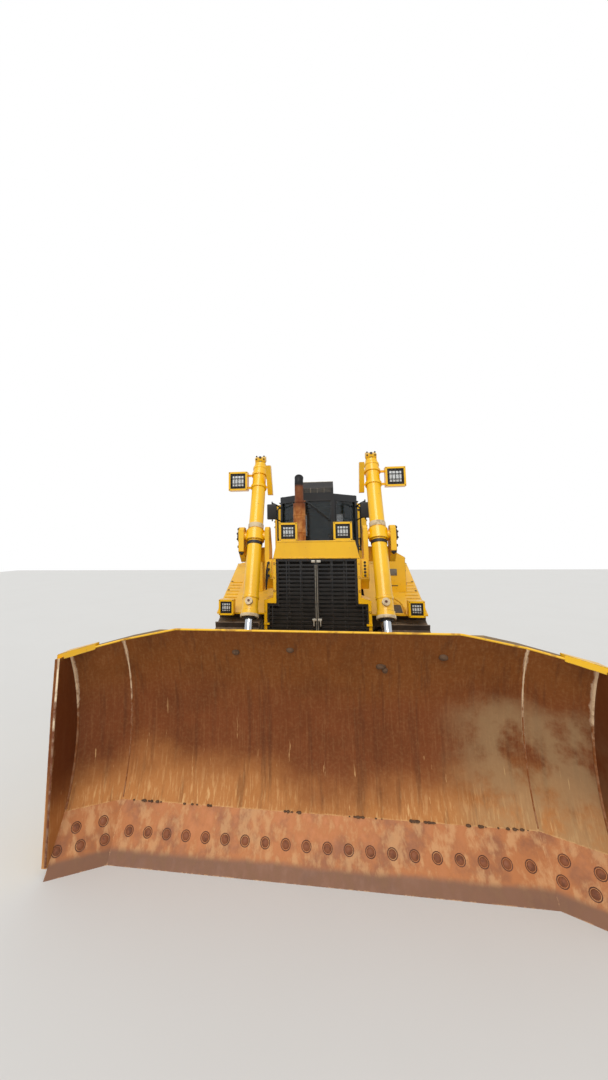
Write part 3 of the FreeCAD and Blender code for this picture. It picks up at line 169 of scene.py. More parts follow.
def finishPiece(piece, body, material, angle=35):
    clearSelection()
    piece.select_set(True)
    bpy.context.view_layer.objects.active = piece
    bpy.ops.object.shade_smooth_by_angle(angle=math.radians(angle))
    piece.data.materials.clear()
    piece.data.materials.append(material)
    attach(piece, body)
    return piece


# ---- node helpers


def addNode(tree, kind, **values):
    made = tree.nodes.new(kind)
    for key, value in values.items():
        if hasattr(made, key):
            setattr(made, key, value)
        else:
            made.inputs[key.replace("_", " ")].default_value = value
    return made


def startGroup(name, takes, gives):
    tree = bpy.data.node_groups.new(name, "ShaderNodeTree")
    for label, kind, value in takes:
        socket = tree.interface.new_socket(name=label, in_out="INPUT", socket_type=kind)
        socket.default_value = value
    for label, kind in gives:
        tree.interface.new_socket(name=label, in_out="OUTPUT", socket_type=kind)
    return tree, tree.nodes.new("NodeGroupInput"), tree.nodes.new("NodeGroupOutput")


def useGroup(tree, group, **values):
    made = tree.nodes.new("ShaderNodeGroup")
    made.node_tree = group
    for key, value in values.items():
        made.inputs[key].default_value = value
    return made


def math2(tree, operation, first, second, clamp=False):
    made = tree.nodes.new("ShaderNodeMath")
    made.operation = operation
    made.use_clamp = clamp
    for socket, value in zip(made.inputs, (first, second)):
        if isinstance(value, (int, float)):
            socket.default_value = value
        else:
            tree.links.new(value, socket)
    return made.outputs[0]


def mixColour(tree, factor, first, second, blend="MIX"):
    made = tree.nodes.new("ShaderNodeMix")
    made.data_type = "RGBA"
    made.blend_type = blend
    for socket, value in ((made.inputs[0], factor), (made.inputs[6], first), (made.inputs[7], second)):
        if isinstance(value, (int, float, tuple)):
            socket.default_value = value
        else:
            tree.links.new(value, socket)
    return made.outputs[2]


def mapRange(tree, value, low, high, toLow=0.0, toHigh=1.0):
    made = tree.nodes.new("ShaderNodeMapRange")
    made.interpolation_type = "SMOOTHSTEP"
    tree.links.new(value, made.inputs[0])
    for index, number in enumerate((low, high, toLow, toHigh)):
        if isinstance(number, (int, float)):
            made.inputs[index + 1].default_value = number
        else:
            tree.links.new(number, made.inputs[index + 1])
    return made.outputs[0]


# ---- shared effects


def buildSpeckle():
    tree, takes, gives = startGroup("speckle", [
        ("Scale", "NodeSocketFloat", 8.0), ("Stretch", "NodeSocketVector", (1, 1, 1)),
        ("Detail", "NodeSocketFloat", 6.0), ("Low", "NodeSocketFloat", 0.45),
        ("High", "NodeSocketFloat", 0.6)],
        [("Mask", "NodeSocketFloat"), ("Height", "NodeSocketFloat")])
    place = tree.nodes.new("ShaderNodeTexCoord")
    stretch = addNode(tree, "ShaderNodeVectorMath", operation="MULTIPLY")
    tree.links.new(place.outputs["Object"], stretch.inputs[0])
    tree.links.new(takes.outputs["Stretch"], stretch.inputs[1])
    noise = addNode(tree, "ShaderNodeTexNoise", Roughness=0.62)
    tree.links.new(stretch.outputs[0], noise.inputs["Vector"])
    tree.links.new(takes.outputs["Scale"], noise.inputs["Scale"])
    tree.links.new(takes.outputs["Detail"], noise.inputs["Detail"])
    mask = mapRange(tree, noise.outputs[0], takes.outputs["Low"], takes.outputs["High"])
    tree.links.new(mask, gives.inputs["Mask"])
    tree.links.new(noise.outputs[0], gives.inputs["Height"])
    return tree


def buildEdgeWear():
    tree, takes, gives = startGroup("edgeWear", [
        ("Radius", "NodeSocketFloat", 0.008), ("Scale", "NodeSocketFloat", 14.0),
        ("Amount", "NodeSocketFloat", 0.5)], [("Mask", "NodeSocketFloat")])
    rounded = addNode(tree, "ShaderNodeBevel", samples=4)
    tree.links.new(takes.outputs["Radius"], rounded.inputs["Radius"])
    geometry = tree.nodes.new("ShaderNodeNewGeometry")
    facing = addNode(tree, "ShaderNodeVectorMath", operation="DOT_PRODUCT")
    tree.links.new(rounded.outputs[0], facing.inputs[0])
    tree.links.new(geometry.outputs["Normal"], facing.inputs[1])
    edge = mapRange(tree, facing.outputs["Value"], 0.995, 0.86)
    place = tree.nodes.new("ShaderNodeTexCoord")
    noise = addNode(tree, "ShaderNodeTexNoise", Detail=8.0, Roughness=0.7)
    tree.links.new(place.outputs["Object"], noise.inputs["Vector"])
    tree.links.new(takes.outputs["Scale"], noise.inputs["Scale"])
    broken = math2(tree, "ADD", noise.outputs[0], math2(tree, "SUBTRACT", takes.outputs["Amount"], 0.5))
    broken = mapRange(tree, broken, 0.42, 0.56)
    tree.links.new(math2(tree, "MULTIPLY", edge, broken), gives.inputs["Mask"])
    return tree


def buildDust():
    tree, takes, gives = startGroup("roadDust", [
        ("Top", "NodeSocketFloat", 1.2), ("Low", "NodeSocketFloat", 0.0),
        ("Amount", "NodeSocketFloat", 0.5), ("Upward", "NodeSocketFloat", 0.5)],
        [("Mask", "NodeSocketFloat")])
    place = tree.nodes.new("ShaderNodeTexCoord")
    split = tree.nodes.new("ShaderNodeSeparateXYZ")
    tree.links.new(place.outputs["Object"], split.inputs[0])
    height = mapRange(tree, split.outputs[2], takes.outputs["Top"], takes.outputs["Low"])
    normals = tree.nodes.new("ShaderNodeSeparateXYZ")
    geometry = tree.nodes.new("ShaderNodeNewGeometry")
    tree.links.new(geometry.outputs["Normal"], normals.inputs[0])
    lying = math2(tree, "MULTIPLY", mapRange(tree, normals.outputs[2], 0.35, 0.95), takes.outputs["Upward"])
    coarse = addNode(tree, "ShaderNodeTexNoise", Scale=2.3, Detail=7.0, Roughness=0.66)
    fine = addNode(tree, "ShaderNodeTexNoise", Scale=26.0, Detail=5.0, Roughness=0.6)
    for noise in (coarse, fine):
        tree.links.new(place.outputs["Object"], noise.inputs["Vector"])
    patches = math2(tree, "MULTIPLY", mapRange(tree, coarse.outputs[0], 0.35, 0.65),
                    mapRange(tree, fine.outputs[0], 0.3, 0.62, 0.45, 1.0))
    where = math2(tree, "ADD", math2(tree, "MULTIPLY", height, takes.outputs["Amount"]), lying, clamp=True)
    soft = math2(tree, "ADD", math2(tree, "MULTIPLY", patches, 0.75), 0.25)
    tree.links.new(math2(tree, "MULTIPLY", where, soft, clamp=True), gives.inputs["Mask"])
    return tree


speckle = buildSpeckle()
edgeWear = buildEdgeWear()
roadDust = buildDust()

# ---- finishes


def startFinish(name):
    material = bpy.data.materials.new(name)
    material.use_nodes = True
    tree = material.node_tree
    shader = next(n for n in tree.nodes if n.type == "BSDF_PRINCIPLED")
    return material, tree, shader


def addBump(tree, shader, height, strength, distance):
    bump = addNode(tree, "ShaderNodeBump", Strength=strength, Distance=distance)
    tree.links.new(height, bump.inputs["Height"])
    tree.links.new(bump.outputs[0], shader.inputs["Normal"])
    return bump


def heightOf(tree, low, high):
    place = tree.nodes.new("ShaderNodeTexCoord")
    split = tree.nodes.new("ShaderNodeSeparateXYZ")
    tree.links.new(place.outputs["Object"], split.inputs[0])
    return mapRange(tree, split.outputs[2], low, high)


yellowPaint = dict(colour=srgb(244, 188, 6), faded=srgb(226, 166, 14), dust=srgb(184, 150, 96),
                   chip=srgb(92, 60, 42), rough=0.32, wear=0.5, dustTop=1.5, dustAmount=0.7, upward=0.35)
blackPaint = dict(colour=srgb(17, 17, 19), faded=srgb(36, 35, 35), dust=srgb(150, 132, 108),
                  chip=srgb(70, 66, 62), rough=0.4, wear=0.3, dustTop=1.6, dustAmount=0.15, upward=0.18)
framePaint = dict(colour=srgb(34, 33, 33), faded=srgb(60, 55, 50), dust=srgb(140, 118, 92),
                  chip=srgb(84, 62, 48), rough=0.6, wear=0.5, dustTop=1.4, dustAmount=0.9, upward=0.7)


def paintFinish(name, look):
    material, tree, shader = startFinish(name)
    fade = useGroup(tree, speckle, Scale=1.7, Low=0.42, High=0.72)
    colour = mixColour(tree, math2(tree, "MULTIPLY", fade.outputs["Mask"], 0.55), look["colour"], look["faded"])
    grime = useGroup(tree, speckle, Scale=5.0, Stretch=(1.0, 1.0, 0.16), Low=0.5, High=0.75)
    colour = mixColour(tree, math2(tree, "MULTIPLY", grime.outputs["Mask"], 0.22), colour,
                       tuple(part * 0.45 for part in look["colour"][:3]) + (1,))
    worn = useGroup(tree, edgeWear, Radius=0.009, Scale=11.0, Amount=look["wear"])
    spots = useGroup(tree, speckle, Scale=34.0, Detail=4.0, Low=0.69, High=0.73)
    chips = math2(tree, "MAXIMUM", worn.outputs["Mask"], math2(tree, "MULTIPLY", spots.outputs["Mask"], 0.8))
    colour = mixColour(tree, chips, colour, look["chip"])
    dusty = useGroup(tree, roadDust, Top=look["dustTop"], Low=0.2, Amount=look["dustAmount"],
                     Upward=look["upward"])
    colour = mixColour(tree, dusty.outputs["Mask"], colour, look["dust"])
    tree.links.new(colour, shader.inputs["Base Color"])
    rough = math2(tree, "ADD", look["rough"], math2(tree, "MULTIPLY", dusty.outputs["Mask"], 0.5))
    rough = math2(tree, "ADD", rough, math2(tree, "MULTIPLY", chips, 0.25), clamp=True)
    tree.links.new(rough, shader.inputs["Roughness"])
    shader.inputs["Coat Weight"].default_value = 0.25 if look["rough"] < 0.4 else 0.0
    shader.inputs["Coat Roughness"].default_value = 0.12
    peel = useGroup(tree, speckle, Scale=90.0, Detail=2.0)
    height = math2(tree, "SUBTRACT", math2(tree, "MULTIPLY", peel.outputs["Height"], 0.12), chips)
    addBump(tree, shader, height, 0.25, 0.0015)
    return material


# plate is the dark colour painted on the inner sides of the end plates as shade
bladeSteel = dict(upper=srgb(122, 66, 14), middle=srgb(116, 58, 18), lower=srgb(186, 122, 64),
                  streak=srgb(220, 174, 116), dark=srgb(70, 34, 10), paint=srgb(240, 184, 12),
                  seam=srgb(232, 206, 172), mud=srgb(166, 138, 98), plate=srgb(98, 46, 12), soil=srgb(124, 98, 62),
                  seamX=1.56, seamY=-2.850, endX=1.93, lean=0.0)


def bladeFinish():
    # rusted face, painted back, pale worn bands where the wings and end plates join
    look = bladeSteel
    material, tree, shader = startFinish("bladeRust")
    place = tree.nodes.new("ShaderNodeTexCoord")
    split = tree.nodes.new("ShaderNodeSeparateXYZ")
    tree.links.new(place.outputs["Object"], split.inputs[0])
    patchy = useGroup(tree, speckle, Scale=1.1, Detail=7.0, Low=0.3, High=0.7)
    wobble = math2(tree, "MULTIPLY", math2(tree, "SUBTRACT", patchy.outputs["Height"], 0.5), 0.7)
    level = math2(tree, "ADD", split.outputs[2], wobble)
    low = mapRange(tree, level, 0.76, 0.32)
    high = mapRange(tree, level, 0.95, 1.4)
    colour = mixColour(tree, high, look["middle"], look["upper"])
    cloud = useGroup(tree, speckle, Scale=2.6, Detail=10.0, Low=0.42, High=0.7)
    colour = mixColour(tree, math2(tree, "MULTIPLY", cloud.outputs["Mask"], 0.28), colour, look["dark"])
    colour = mixColour(tree, math2(tree, "MULTIPLY", low, 0.9), colour, look["lower"])
    # streaks scoured downwards by the soil, pale near the foot
    streaky = mapRange(tree, level, 0.62, 0.28)
    runs = useGroup(tree, speckle, Scale=60.0, Stretch=(1.0, 0.4, 0.05), Detail=5.0, Low=0.5, High=0.66)
    colour = mixColour(tree, math2(tree, "MULTIPLY", runs.outputs["Mask"],
                                   math2(tree, "ADD", math2(tree, "MULTIPLY", streaky, 0.5), 0.05)), colour, look["streak"])
    lone = useGroup(tree, speckle, Scale=26.0, Stretch=(1.0, 0.4, 0.09), Detail=4.0, Low=0.66, High=0.7)
    colour = mixColour(tree, math2(tree, "MULTIPLY", lone.outputs["Mask"], math2(tree, "MULTIPLY", mapRange(tree, level, 1.15, 0.7), 0.6)),
                       colour, look["streak"])
    darkRuns = useGroup(tree, speckle, Scale=15.0, Stretch=(1.3, 0.4, 0.05), Detail=6.0, Low=0.5, High=0.7)
    colour = mixColour(tree, math2(tree, "MULTIPLY", darkRuns.outputs["Mask"], 0.4), colour, look["dark"])
    fine = useGroup(tree, speckle, Scale=46.0, Detail=6.0, Low=0.45, High=0.66)
    colour = mixColour(tree, math2(tree, "MULTIPLY", fine.outputs["Mask"], 0.05), colour, look["streak"])
    # grey soil dried on towards one end
    splash = useGroup(tree, speckle, Scale=3.2, Detail=14.0, Low=0.36, High=0.56)
    side = mapRange(tree, split.outputs[0], 0.85, 1.35)
    mudLevel = mapRange(tree, level, 1.16, 0.96)
    mud = math2(tree, "MULTIPLY", math2(tree, "MULTIPLY", splash.outputs["Mask"], side), mudLevel)
    colour = mixColour(tree, math2(tree, "MULTIPLY", mud, 0.55), colour, look["mud"])
    # bands along the mitred joint and along the end plates
    across = math2(tree, "ABSOLUTE", split.outputs[0], 0.0)
    depth = math2(tree, "SUBTRACT", split.outputs[1], look["seamY"] + groundY)
    joint = math2(tree, "SUBTRACT", math2(tree, "SUBTRACT", across, look["seamX"]),
                  math2(tree, "MULTIPLY", depth, look["lean"]))
    chipped = useGroup(tree, speckle, Scale=20.0, Detail=7.0, Low=0.42, High=0.55)
    ragged = math2(tree, "MULTIPLY", math2(tree, "SUBTRACT", chipped.outputs["Height"], 0.5), 0.04)
    upperPart = mapRange(tree, split.outputs[2], 1.36, 1.5)
    away = math2(tree, "ADD", math2(tree, "ABSOLUTE", joint, 0.0), ragged)
    width = math2(tree, "ADD", math2(tree, "MULTIPLY", upperPart, 0.004), 0.006)
    seam = mapRange(tree, math2(tree, "SUBTRACT", away, width), 0.006, -0.003)
    strength = math2(tree, "ADD", math2(tree, "MULTIPLY", upperPart, 0.35),
                     math2(tree, "MULTIPLY", chipped.outputs["Mask"], mapRange(tree, split.outputs[2], 0.7, 1.0, 0.05, 0.55)), clamp=True)
    seam = math2(tree, "MULTIPLY", seam, strength)
    inward = math2(tree, "SUBTRACT", look["endX"], across)
    endAway = math2(tree, "ADD", math2(tree, "ABSOLUTE", inward, 0.0), ragged)
    endUpper = mapRange(tree, split.outputs[2], 0.98, 1.16)
    endWidth = math2(tree, "ADD", math2(tree, "MULTIPLY", endUpper, 0.010), 0.004)
    endBand = mapRange(tree, math2(tree, "SUBTRACT", endAway, endWidth), 0.008, -0.006)
    endBand = math2(tree, "MULTIPLY", endBand, math2(tree, "ADD", math2(tree, "MULTIPLY", endUpper, 0.6),
                    math2(tree, "MULTIPLY", chipped.outputs["Mask"], 0.25), clamp=True))
    # painted shade: the inner sides of the end plates are darkened, with orange feet left below
    normals = tree.nodes.new("ShaderNodeSeparateXYZ")
    geometry = tree.nodes.new("ShaderNodeNewGeometry")
    tree.links.new(geometry.outputs["Normal"], normals.inputs[0])
    sideways = mapRange(tree, math2(tree, "ABSOLUTE", normals.outputs[0], 0.0), 0.9, 0.98)
    endSide = math2(tree, "MULTIPLY", sideways, mapRange(tree, across, 1.90, 1.92))
    colour = mixColour(tree, math2(tree, "MULTIPLY", endSide, mapRange(tree, level, 0.3, 0.7, 0.0, 0.7)),
                       colour, look["plate"])
    bands = math2(tree, "MAXIMUM", seam, math2(tree, "MULTIPLY", endBand, math2(tree, "SUBTRACT", 1.0, endSide)))
    colour = mixColour(tree, math2(tree, "MULTIPLY", bands, 0.9), colour, look["seam"])
    corner = math2(tree, "MULTIPLY", endBand, mapRange(tree, split.outputs[2], 1.47, 1.56))
    colour = mixColour(tree, math2(tree, "MULTIPLY", corner, 0.85), colour, look["paint"])
    # paint on the back, the outsides of the end plates and the top rim
    outside = math2(tree, "MULTIPLY", sideways, mapRange(tree, across, 1.955, 1.965))
    back = mapRange(tree, normals.outputs[1], 0.0, 0.25)
    top = mapRange(tree, normals.outputs[2], 0.8, 0.95)
    top = math2(tree, "MULTIPLY", top, mapRange(tree, split.outputs[2], 0.5, 0.8))
    # only the front lip of the sloped tops keeps its paint, soil lies behind it
    past = math2(tree, "MULTIPLY", math2(tree, "MAXIMUM", math2(tree, "SUBTRACT", across, look["seamX"]), 0.0), 0.5317)
    behind = math2(tree, "ADD", depth, past)
    lipMask = mapRange(tree, behind, 0.062, 0.048)
    soil = math2(tree, "MULTIPLY", top, math2(tree, "SUBTRACT", 1.0, lipMask))
    colour = mixColour(tree, soil, colour, look["soil"])
    top = math2(tree, "MULTIPLY", top, lipMask)
    painted = math2(tree, "MAXIMUM", math2(tree, "MAXIMUM", back, top), outside)
    fade = useGroup(tree, speckle, Scale=3.4, Detail=8.0, Low=0.5, High=0.68)
    left = math2(tree, "SUBTRACT", 1.0, math2(tree, "MULTIPLY", fade.outputs["Mask"], 0.5))
    paint = mixColour(tree, math2(tree, "MULTIPLY", cloud.outputs["Mask"], 0.3), look["paint"], look["lower"])
    colour = mixColour(tree, math2(tree, "MULTIPLY", painted, left, clamp=True), colour, paint)
    worn = useGroup(tree, edgeWear, Radius=0.014, Scale=14.0, Amount=0.5)
    colour = mixColour(tree, math2(tree, "MULTIPLY", worn.outputs["Mask"], 0.6), colour, look["streak"])
    tree.links.new(colour, shader.inputs["Base Color"])
    tree.links.new(mapRange(tree, cloud.outputs["Height"], 0.3, 0.7, 0.55, 0.75), shader.inputs["Roughness"])
    shader.inputs["Metallic"].default_value = 0.1
    shader.inputs["Specular IOR Level"].default_value = 0.3
    height = math2(tree, "ADD", math2(tree, "MULTIPLY", fine.outputs["Height"], 0.35), runs.outputs["Height"])
    addBump(tree, shader, height, 0.2, 0.003)
    return material


edgeSteel = dict(rust=srgb(172, 104, 52), dark=srgb(122, 72, 44), bright=srgb(214, 168, 118), lip=srgb(112, 78, 58))


def edgeFinish():
    # orange rust above, a smoother purple-brown strip where the soil polishes it
    look = edgeSteel
    material, tree, shader = startFinish("cuttingEdge")
    rust = useGroup(tree, speckle, Scale=5.0, Detail=9.0, Low=0.42, High=0.68)
    colour = mixColour(tree, math2(tree, "MULTIPLY", rust.outputs["Mask"], 0.7), look["rust"], look["dark"])
    scours = useGroup(tree, speckle, Scale=12.0, Stretch=(1.0, 1.0, 0.1), Detail=6.0, Low=0.46, High=0.64)
    colour = mixColour(tree, math2(tree, "MULTIPLY", scours.outputs["Mask"], 0.5), colour, look["bright"])
    ripple = math2(tree, "MULTIPLY", math2(tree, "SUBTRACT", rust.outputs["Height"], 0.5), 0.06)
    place = tree.nodes.new("ShaderNodeTexCoord")
    split = tree.nodes.new("ShaderNodeSeparateXYZ")
    tree.links.new(place.outputs["Object"], split.inputs[0])
    lip = mapRange(tree, math2(tree, "ADD", split.outputs[2], ripple), 0.1, 0.06)
    colour = mixColour(tree, math2(tree, "MULTIPLY", lip, 0.85), colour, look["lip"])
    worn = useGroup(tree, edgeWear, Radius=0.008, Scale=18.0, Amount=0.45)
    colour = mixColour(tree, math2(tree, "MULTIPLY", worn.outputs["Mask"], 0.7), colour, look["bright"])
    tree.links.new(colour, shader.inputs["Base Color"])
    tree.links.new(mapRange(tree, scours.outputs["Height"], 0.3, 0.7, 0.42, 0.68), shader.inputs["Roughness"])
    shader.inputs["Metallic"].default_value = 0.2
    addBump(tree, shader, math2(tree, "ADD", rust.outputs["Height"], scours.outputs["Height"]), 0.25, 0.0025)
    return material


def weldFinish(name, pale, rust):
    # cream metal near the top, rusting away below
    material, tree, shader = startFinish(name)
    flakes = useGroup(tree, speckle, Scale=16.0, Detail=8.0, Low=0.42, High=0.6)
    place = tree.nodes.new("ShaderNodeTexCoord")
    split = tree.nodes.new("ShaderNodeSeparateXYZ")
    tree.links.new(place.outputs["Object"], split.inputs[0])
    ripple = math2(tree, "MULTIPLY", math2(tree, "SUBTRACT", flakes.outputs["Height"], 0.5), 0.9)
    above = mapRange(tree, math2(tree, "ADD", split.outputs[2], ripple), 0.95, 1.32)
    shown = math2(tree, "ADD", math2(tree, "MULTIPLY", above, 0.85), math2(tree, "MULTIPLY", flakes.outputs["Mask"], 0.15), clamp=True)
    tree.links.new(mixColour(tree, shown, rust, pale), shader.inputs["Base Color"])
    tree.links.new(mapRange(tree, flakes.outputs["Height"], 0.3, 0.7, 0.5, 0.75), shader.inputs["Roughness"])
    shader.inputs["Specular IOR Level"].default_value = 0.3
    addBump(tree, shader, flakes.outputs["Height"], 0.3, 0.002)
    return material


def flakeFinish(name, base, flake, worn, share=0.5, scale=18.0, rough=0.65, metal=0.1, wear=0.4):
    # a base colour, flecked with a second one and rubbed pale at the edges
    material, tree, shader = startFinish(name)
    flakes = useGroup(tree, speckle, Scale=scale, Detail=7.0, Low=0.5, High=0.62)
    colour = mixColour(tree, math2(tree, "MULTIPLY", flakes.outputs["Mask"], share), base, flake)
    edges = useGroup(tree, edgeWear, Radius=0.006, Scale=24.0, Amount=wear)
    colour = mixColour(tree, math2(tree, "MULTIPLY", edges.outputs["Mask"], 0.7), colour, worn)
    tree.links.new(colour, shader.inputs["Base Color"])
    tree.links.new(mapRange(tree, flakes.outputs["Height"], 0.3, 0.7, rough - 0.1, rough + 0.12), shader.inputs["Roughness"])
    shader.inputs["Metallic"].default_value = metal
    addBump(tree, shader, flakes.outputs["Height"], 0.25, 0.0015)
    return material


def steelFinish(name, base, bright, dust, rough=0.5, metal=0.6, dustAmount=0.8):
    material, tree, shader = startFinish(name)
    cloud = useGroup(tree, speckle, Scale=9.0, Detail=8.0, Low=0.35, High=0.65)
    colour = mixColour(tree, math2(tree, "MULTIPLY", cloud.outputs["Mask"], 0.6), base,
                       tuple(part * 1.9 for part in base[:3]) + (1,))
    worn = useGroup(tree, edgeWear, Radius=0.01, Scale=20.0, Amount=0.7)
    colour = mixColour(tree, worn.outputs["Mask"], colour, bright)
    dusty = useGroup(tree, roadDust, Top=1.9, Low=0.0, Amount=dustAmount, Upward=0.6)
    colour = mixColour(tree, dusty.outputs["Mask"], colour, dust)
    tree.links.new(colour, shader.inputs["Base Color"])
    clean = math2(tree, "SUBTRACT", metal, math2(tree, "MULTIPLY", dusty.outputs["Mask"], metal), clamp=True)
    tree.links.new(clean, shader.inputs["Metallic"])
    tree.links.new(math2(tree, "ADD", rough, math2(tree, "MULTIPLY", dusty.outputs["Mask"], 0.35), clamp=True),
                   shader.inputs["Roughness"])
    addBump(tree, shader, cloud.outputs["Height"], 0.3, 0.002)
    return material


def chromeFinish():
    material, tree, shader = startFinish("rodChrome")
    film = useGroup(tree, speckle, Scale=16.0, Stretch=(1.0, 1.0, 0.3), Detail=5.0, Low=0.45, High=0.7)
    colour = mixColour(tree, math2(tree, "MULTIPLY", film.outputs["Mask"], 0.4), srgb(206, 208, 212), srgb(150, 146, 138))
    tree.links.new(colour, shader.inputs["Base Color"])
    tree.links.new(mapRange(tree, film.outputs["Height"], 0.3, 0.7, 0.08, 0.24), shader.inputs["Roughness"])
    shader.inputs["Metallic"].default_value = 1.0
    return material


def exhaustFinish():
    # heat-rusted pipe with a sooty black tip
    material, tree, shader = startFinish("exhaustRust")
    cloud = useGroup(tree, speckle, Scale=12.0, Detail=9.0, Low=0.38, High=0.64)
    colour = mixColour(tree, cloud.outputs["Mask"], srgb(190, 130, 66), srgb(150, 84, 34))
    bloom = useGroup(tree, speckle, Scale=5.0, Detail=4.0, Low=0.5, High=0.7)
    colour = mixColour(tree, math2(tree, "MULTIPLY", bloom.outputs["Mask"], 0.5), colour, srgb(214, 168, 104))
    colour = mixColour(tree, math2(tree, "MULTIPLY", heightOf(tree, 2.74, 2.9), 0.85), colour, srgb(112, 56, 30))
    soot = heightOf(tree, 3.1, 3.15)
    colour = mixColour(tree, soot, colour, srgb(26, 24, 26))
    tree.links.new(colour, shader.inputs["Base Color"])
    tree.links.new(mapRange(tree, cloud.outputs["Height"], 0.3, 0.7, 0.5, 0.8), shader.inputs["Roughness"])
    shader.inputs["Metallic"].default_value = 0.3
    addBump(tree, shader, cloud.outputs["Height"], 0.35, 0.003)
    return material


def glassFinish(name, tint, alpha):
    material, tree, shader = startFinish(name)
    film = useGroup(tree, speckle, Scale=5.0, Detail=6.0, Low=0.5, High=0.8)
    tree.links.new(mixColour(tree, math2(tree, "MULTIPLY", film.outputs["Mask"], 0.2), tint, srgb(120, 116, 106)),
                   shader.inputs["Base Color"])
    tree.links.new(mapRange(tree, film.outputs["Height"], 0.35, 0.75, 0.03, 0.12), shader.inputs["Roughness"])
    tree.links.new(mapRange(tree, film.outputs["Height"], 0.4, 0.9, alpha, min(1.0, alpha + 0.12)), shader.inputs["Alpha"])
    shader.inputs["IOR"].default_value = 1.5
    shader.inputs["Specular IOR Level"].default_value = 0.8
    return material


def rubberFinish(name, base, rough=0.75):
    material, tree, shader = startFinish(name)
    grain = useGroup(tree, speckle, Scale=60.0, Detail=4.0, Low=0.35, High=0.7)
    dusty = useGroup(tree, roadDust, Top=2.4, Low=0.2, Amount=0.3, Upward=0.4)
    colour = mixColour(tree, math2(tree, "MULTIPLY", grain.outputs["Mask"], 0.4), base,
                       tuple(part * 2.2 for part in base[:3]) + (1,))
    colour = mixColour(tree, dusty.outputs["Mask"], colour, srgb(132, 118, 98))
    tree.links.new(colour, shader.inputs["Base Color"])
    tree.links.new(mapRange(tree, grain.outputs["Height"], 0.3, 0.7, rough - 0.12, rough + 0.1), shader.inputs["Roughness"])
    addBump(tree, shader, grain.outputs["Height"], 0.25, 0.0012)
    return material


def fabricFinish():
    material, tree, shader = startFinish("seatCloth")
    place = tree.nodes.new("ShaderNodeTexCoord")
    weaves = []
    for direction in ("X", "Z"):
        wave = addNode(tree, "ShaderNodeTexWave", wave_type="BANDS", bands_direction=direction, Scale=90.0, Distortion=0.6)
        tree.links.new(place.outputs["Object"], wave.inputs["Vector"])
        weaves.append(wave.outputs["Fac"])
    weave = math2(tree, "MULTIPLY", weaves[0], weaves[1])
    tree.links.new(mixColour(tree, weave, srgb(20, 20, 22), srgb(56, 56, 60)), shader.inputs["Base Color"])
    shader.inputs["Roughness"].default_value = 0.9
    addBump(tree, shader, weave, 0.3, 0.001)
    return material


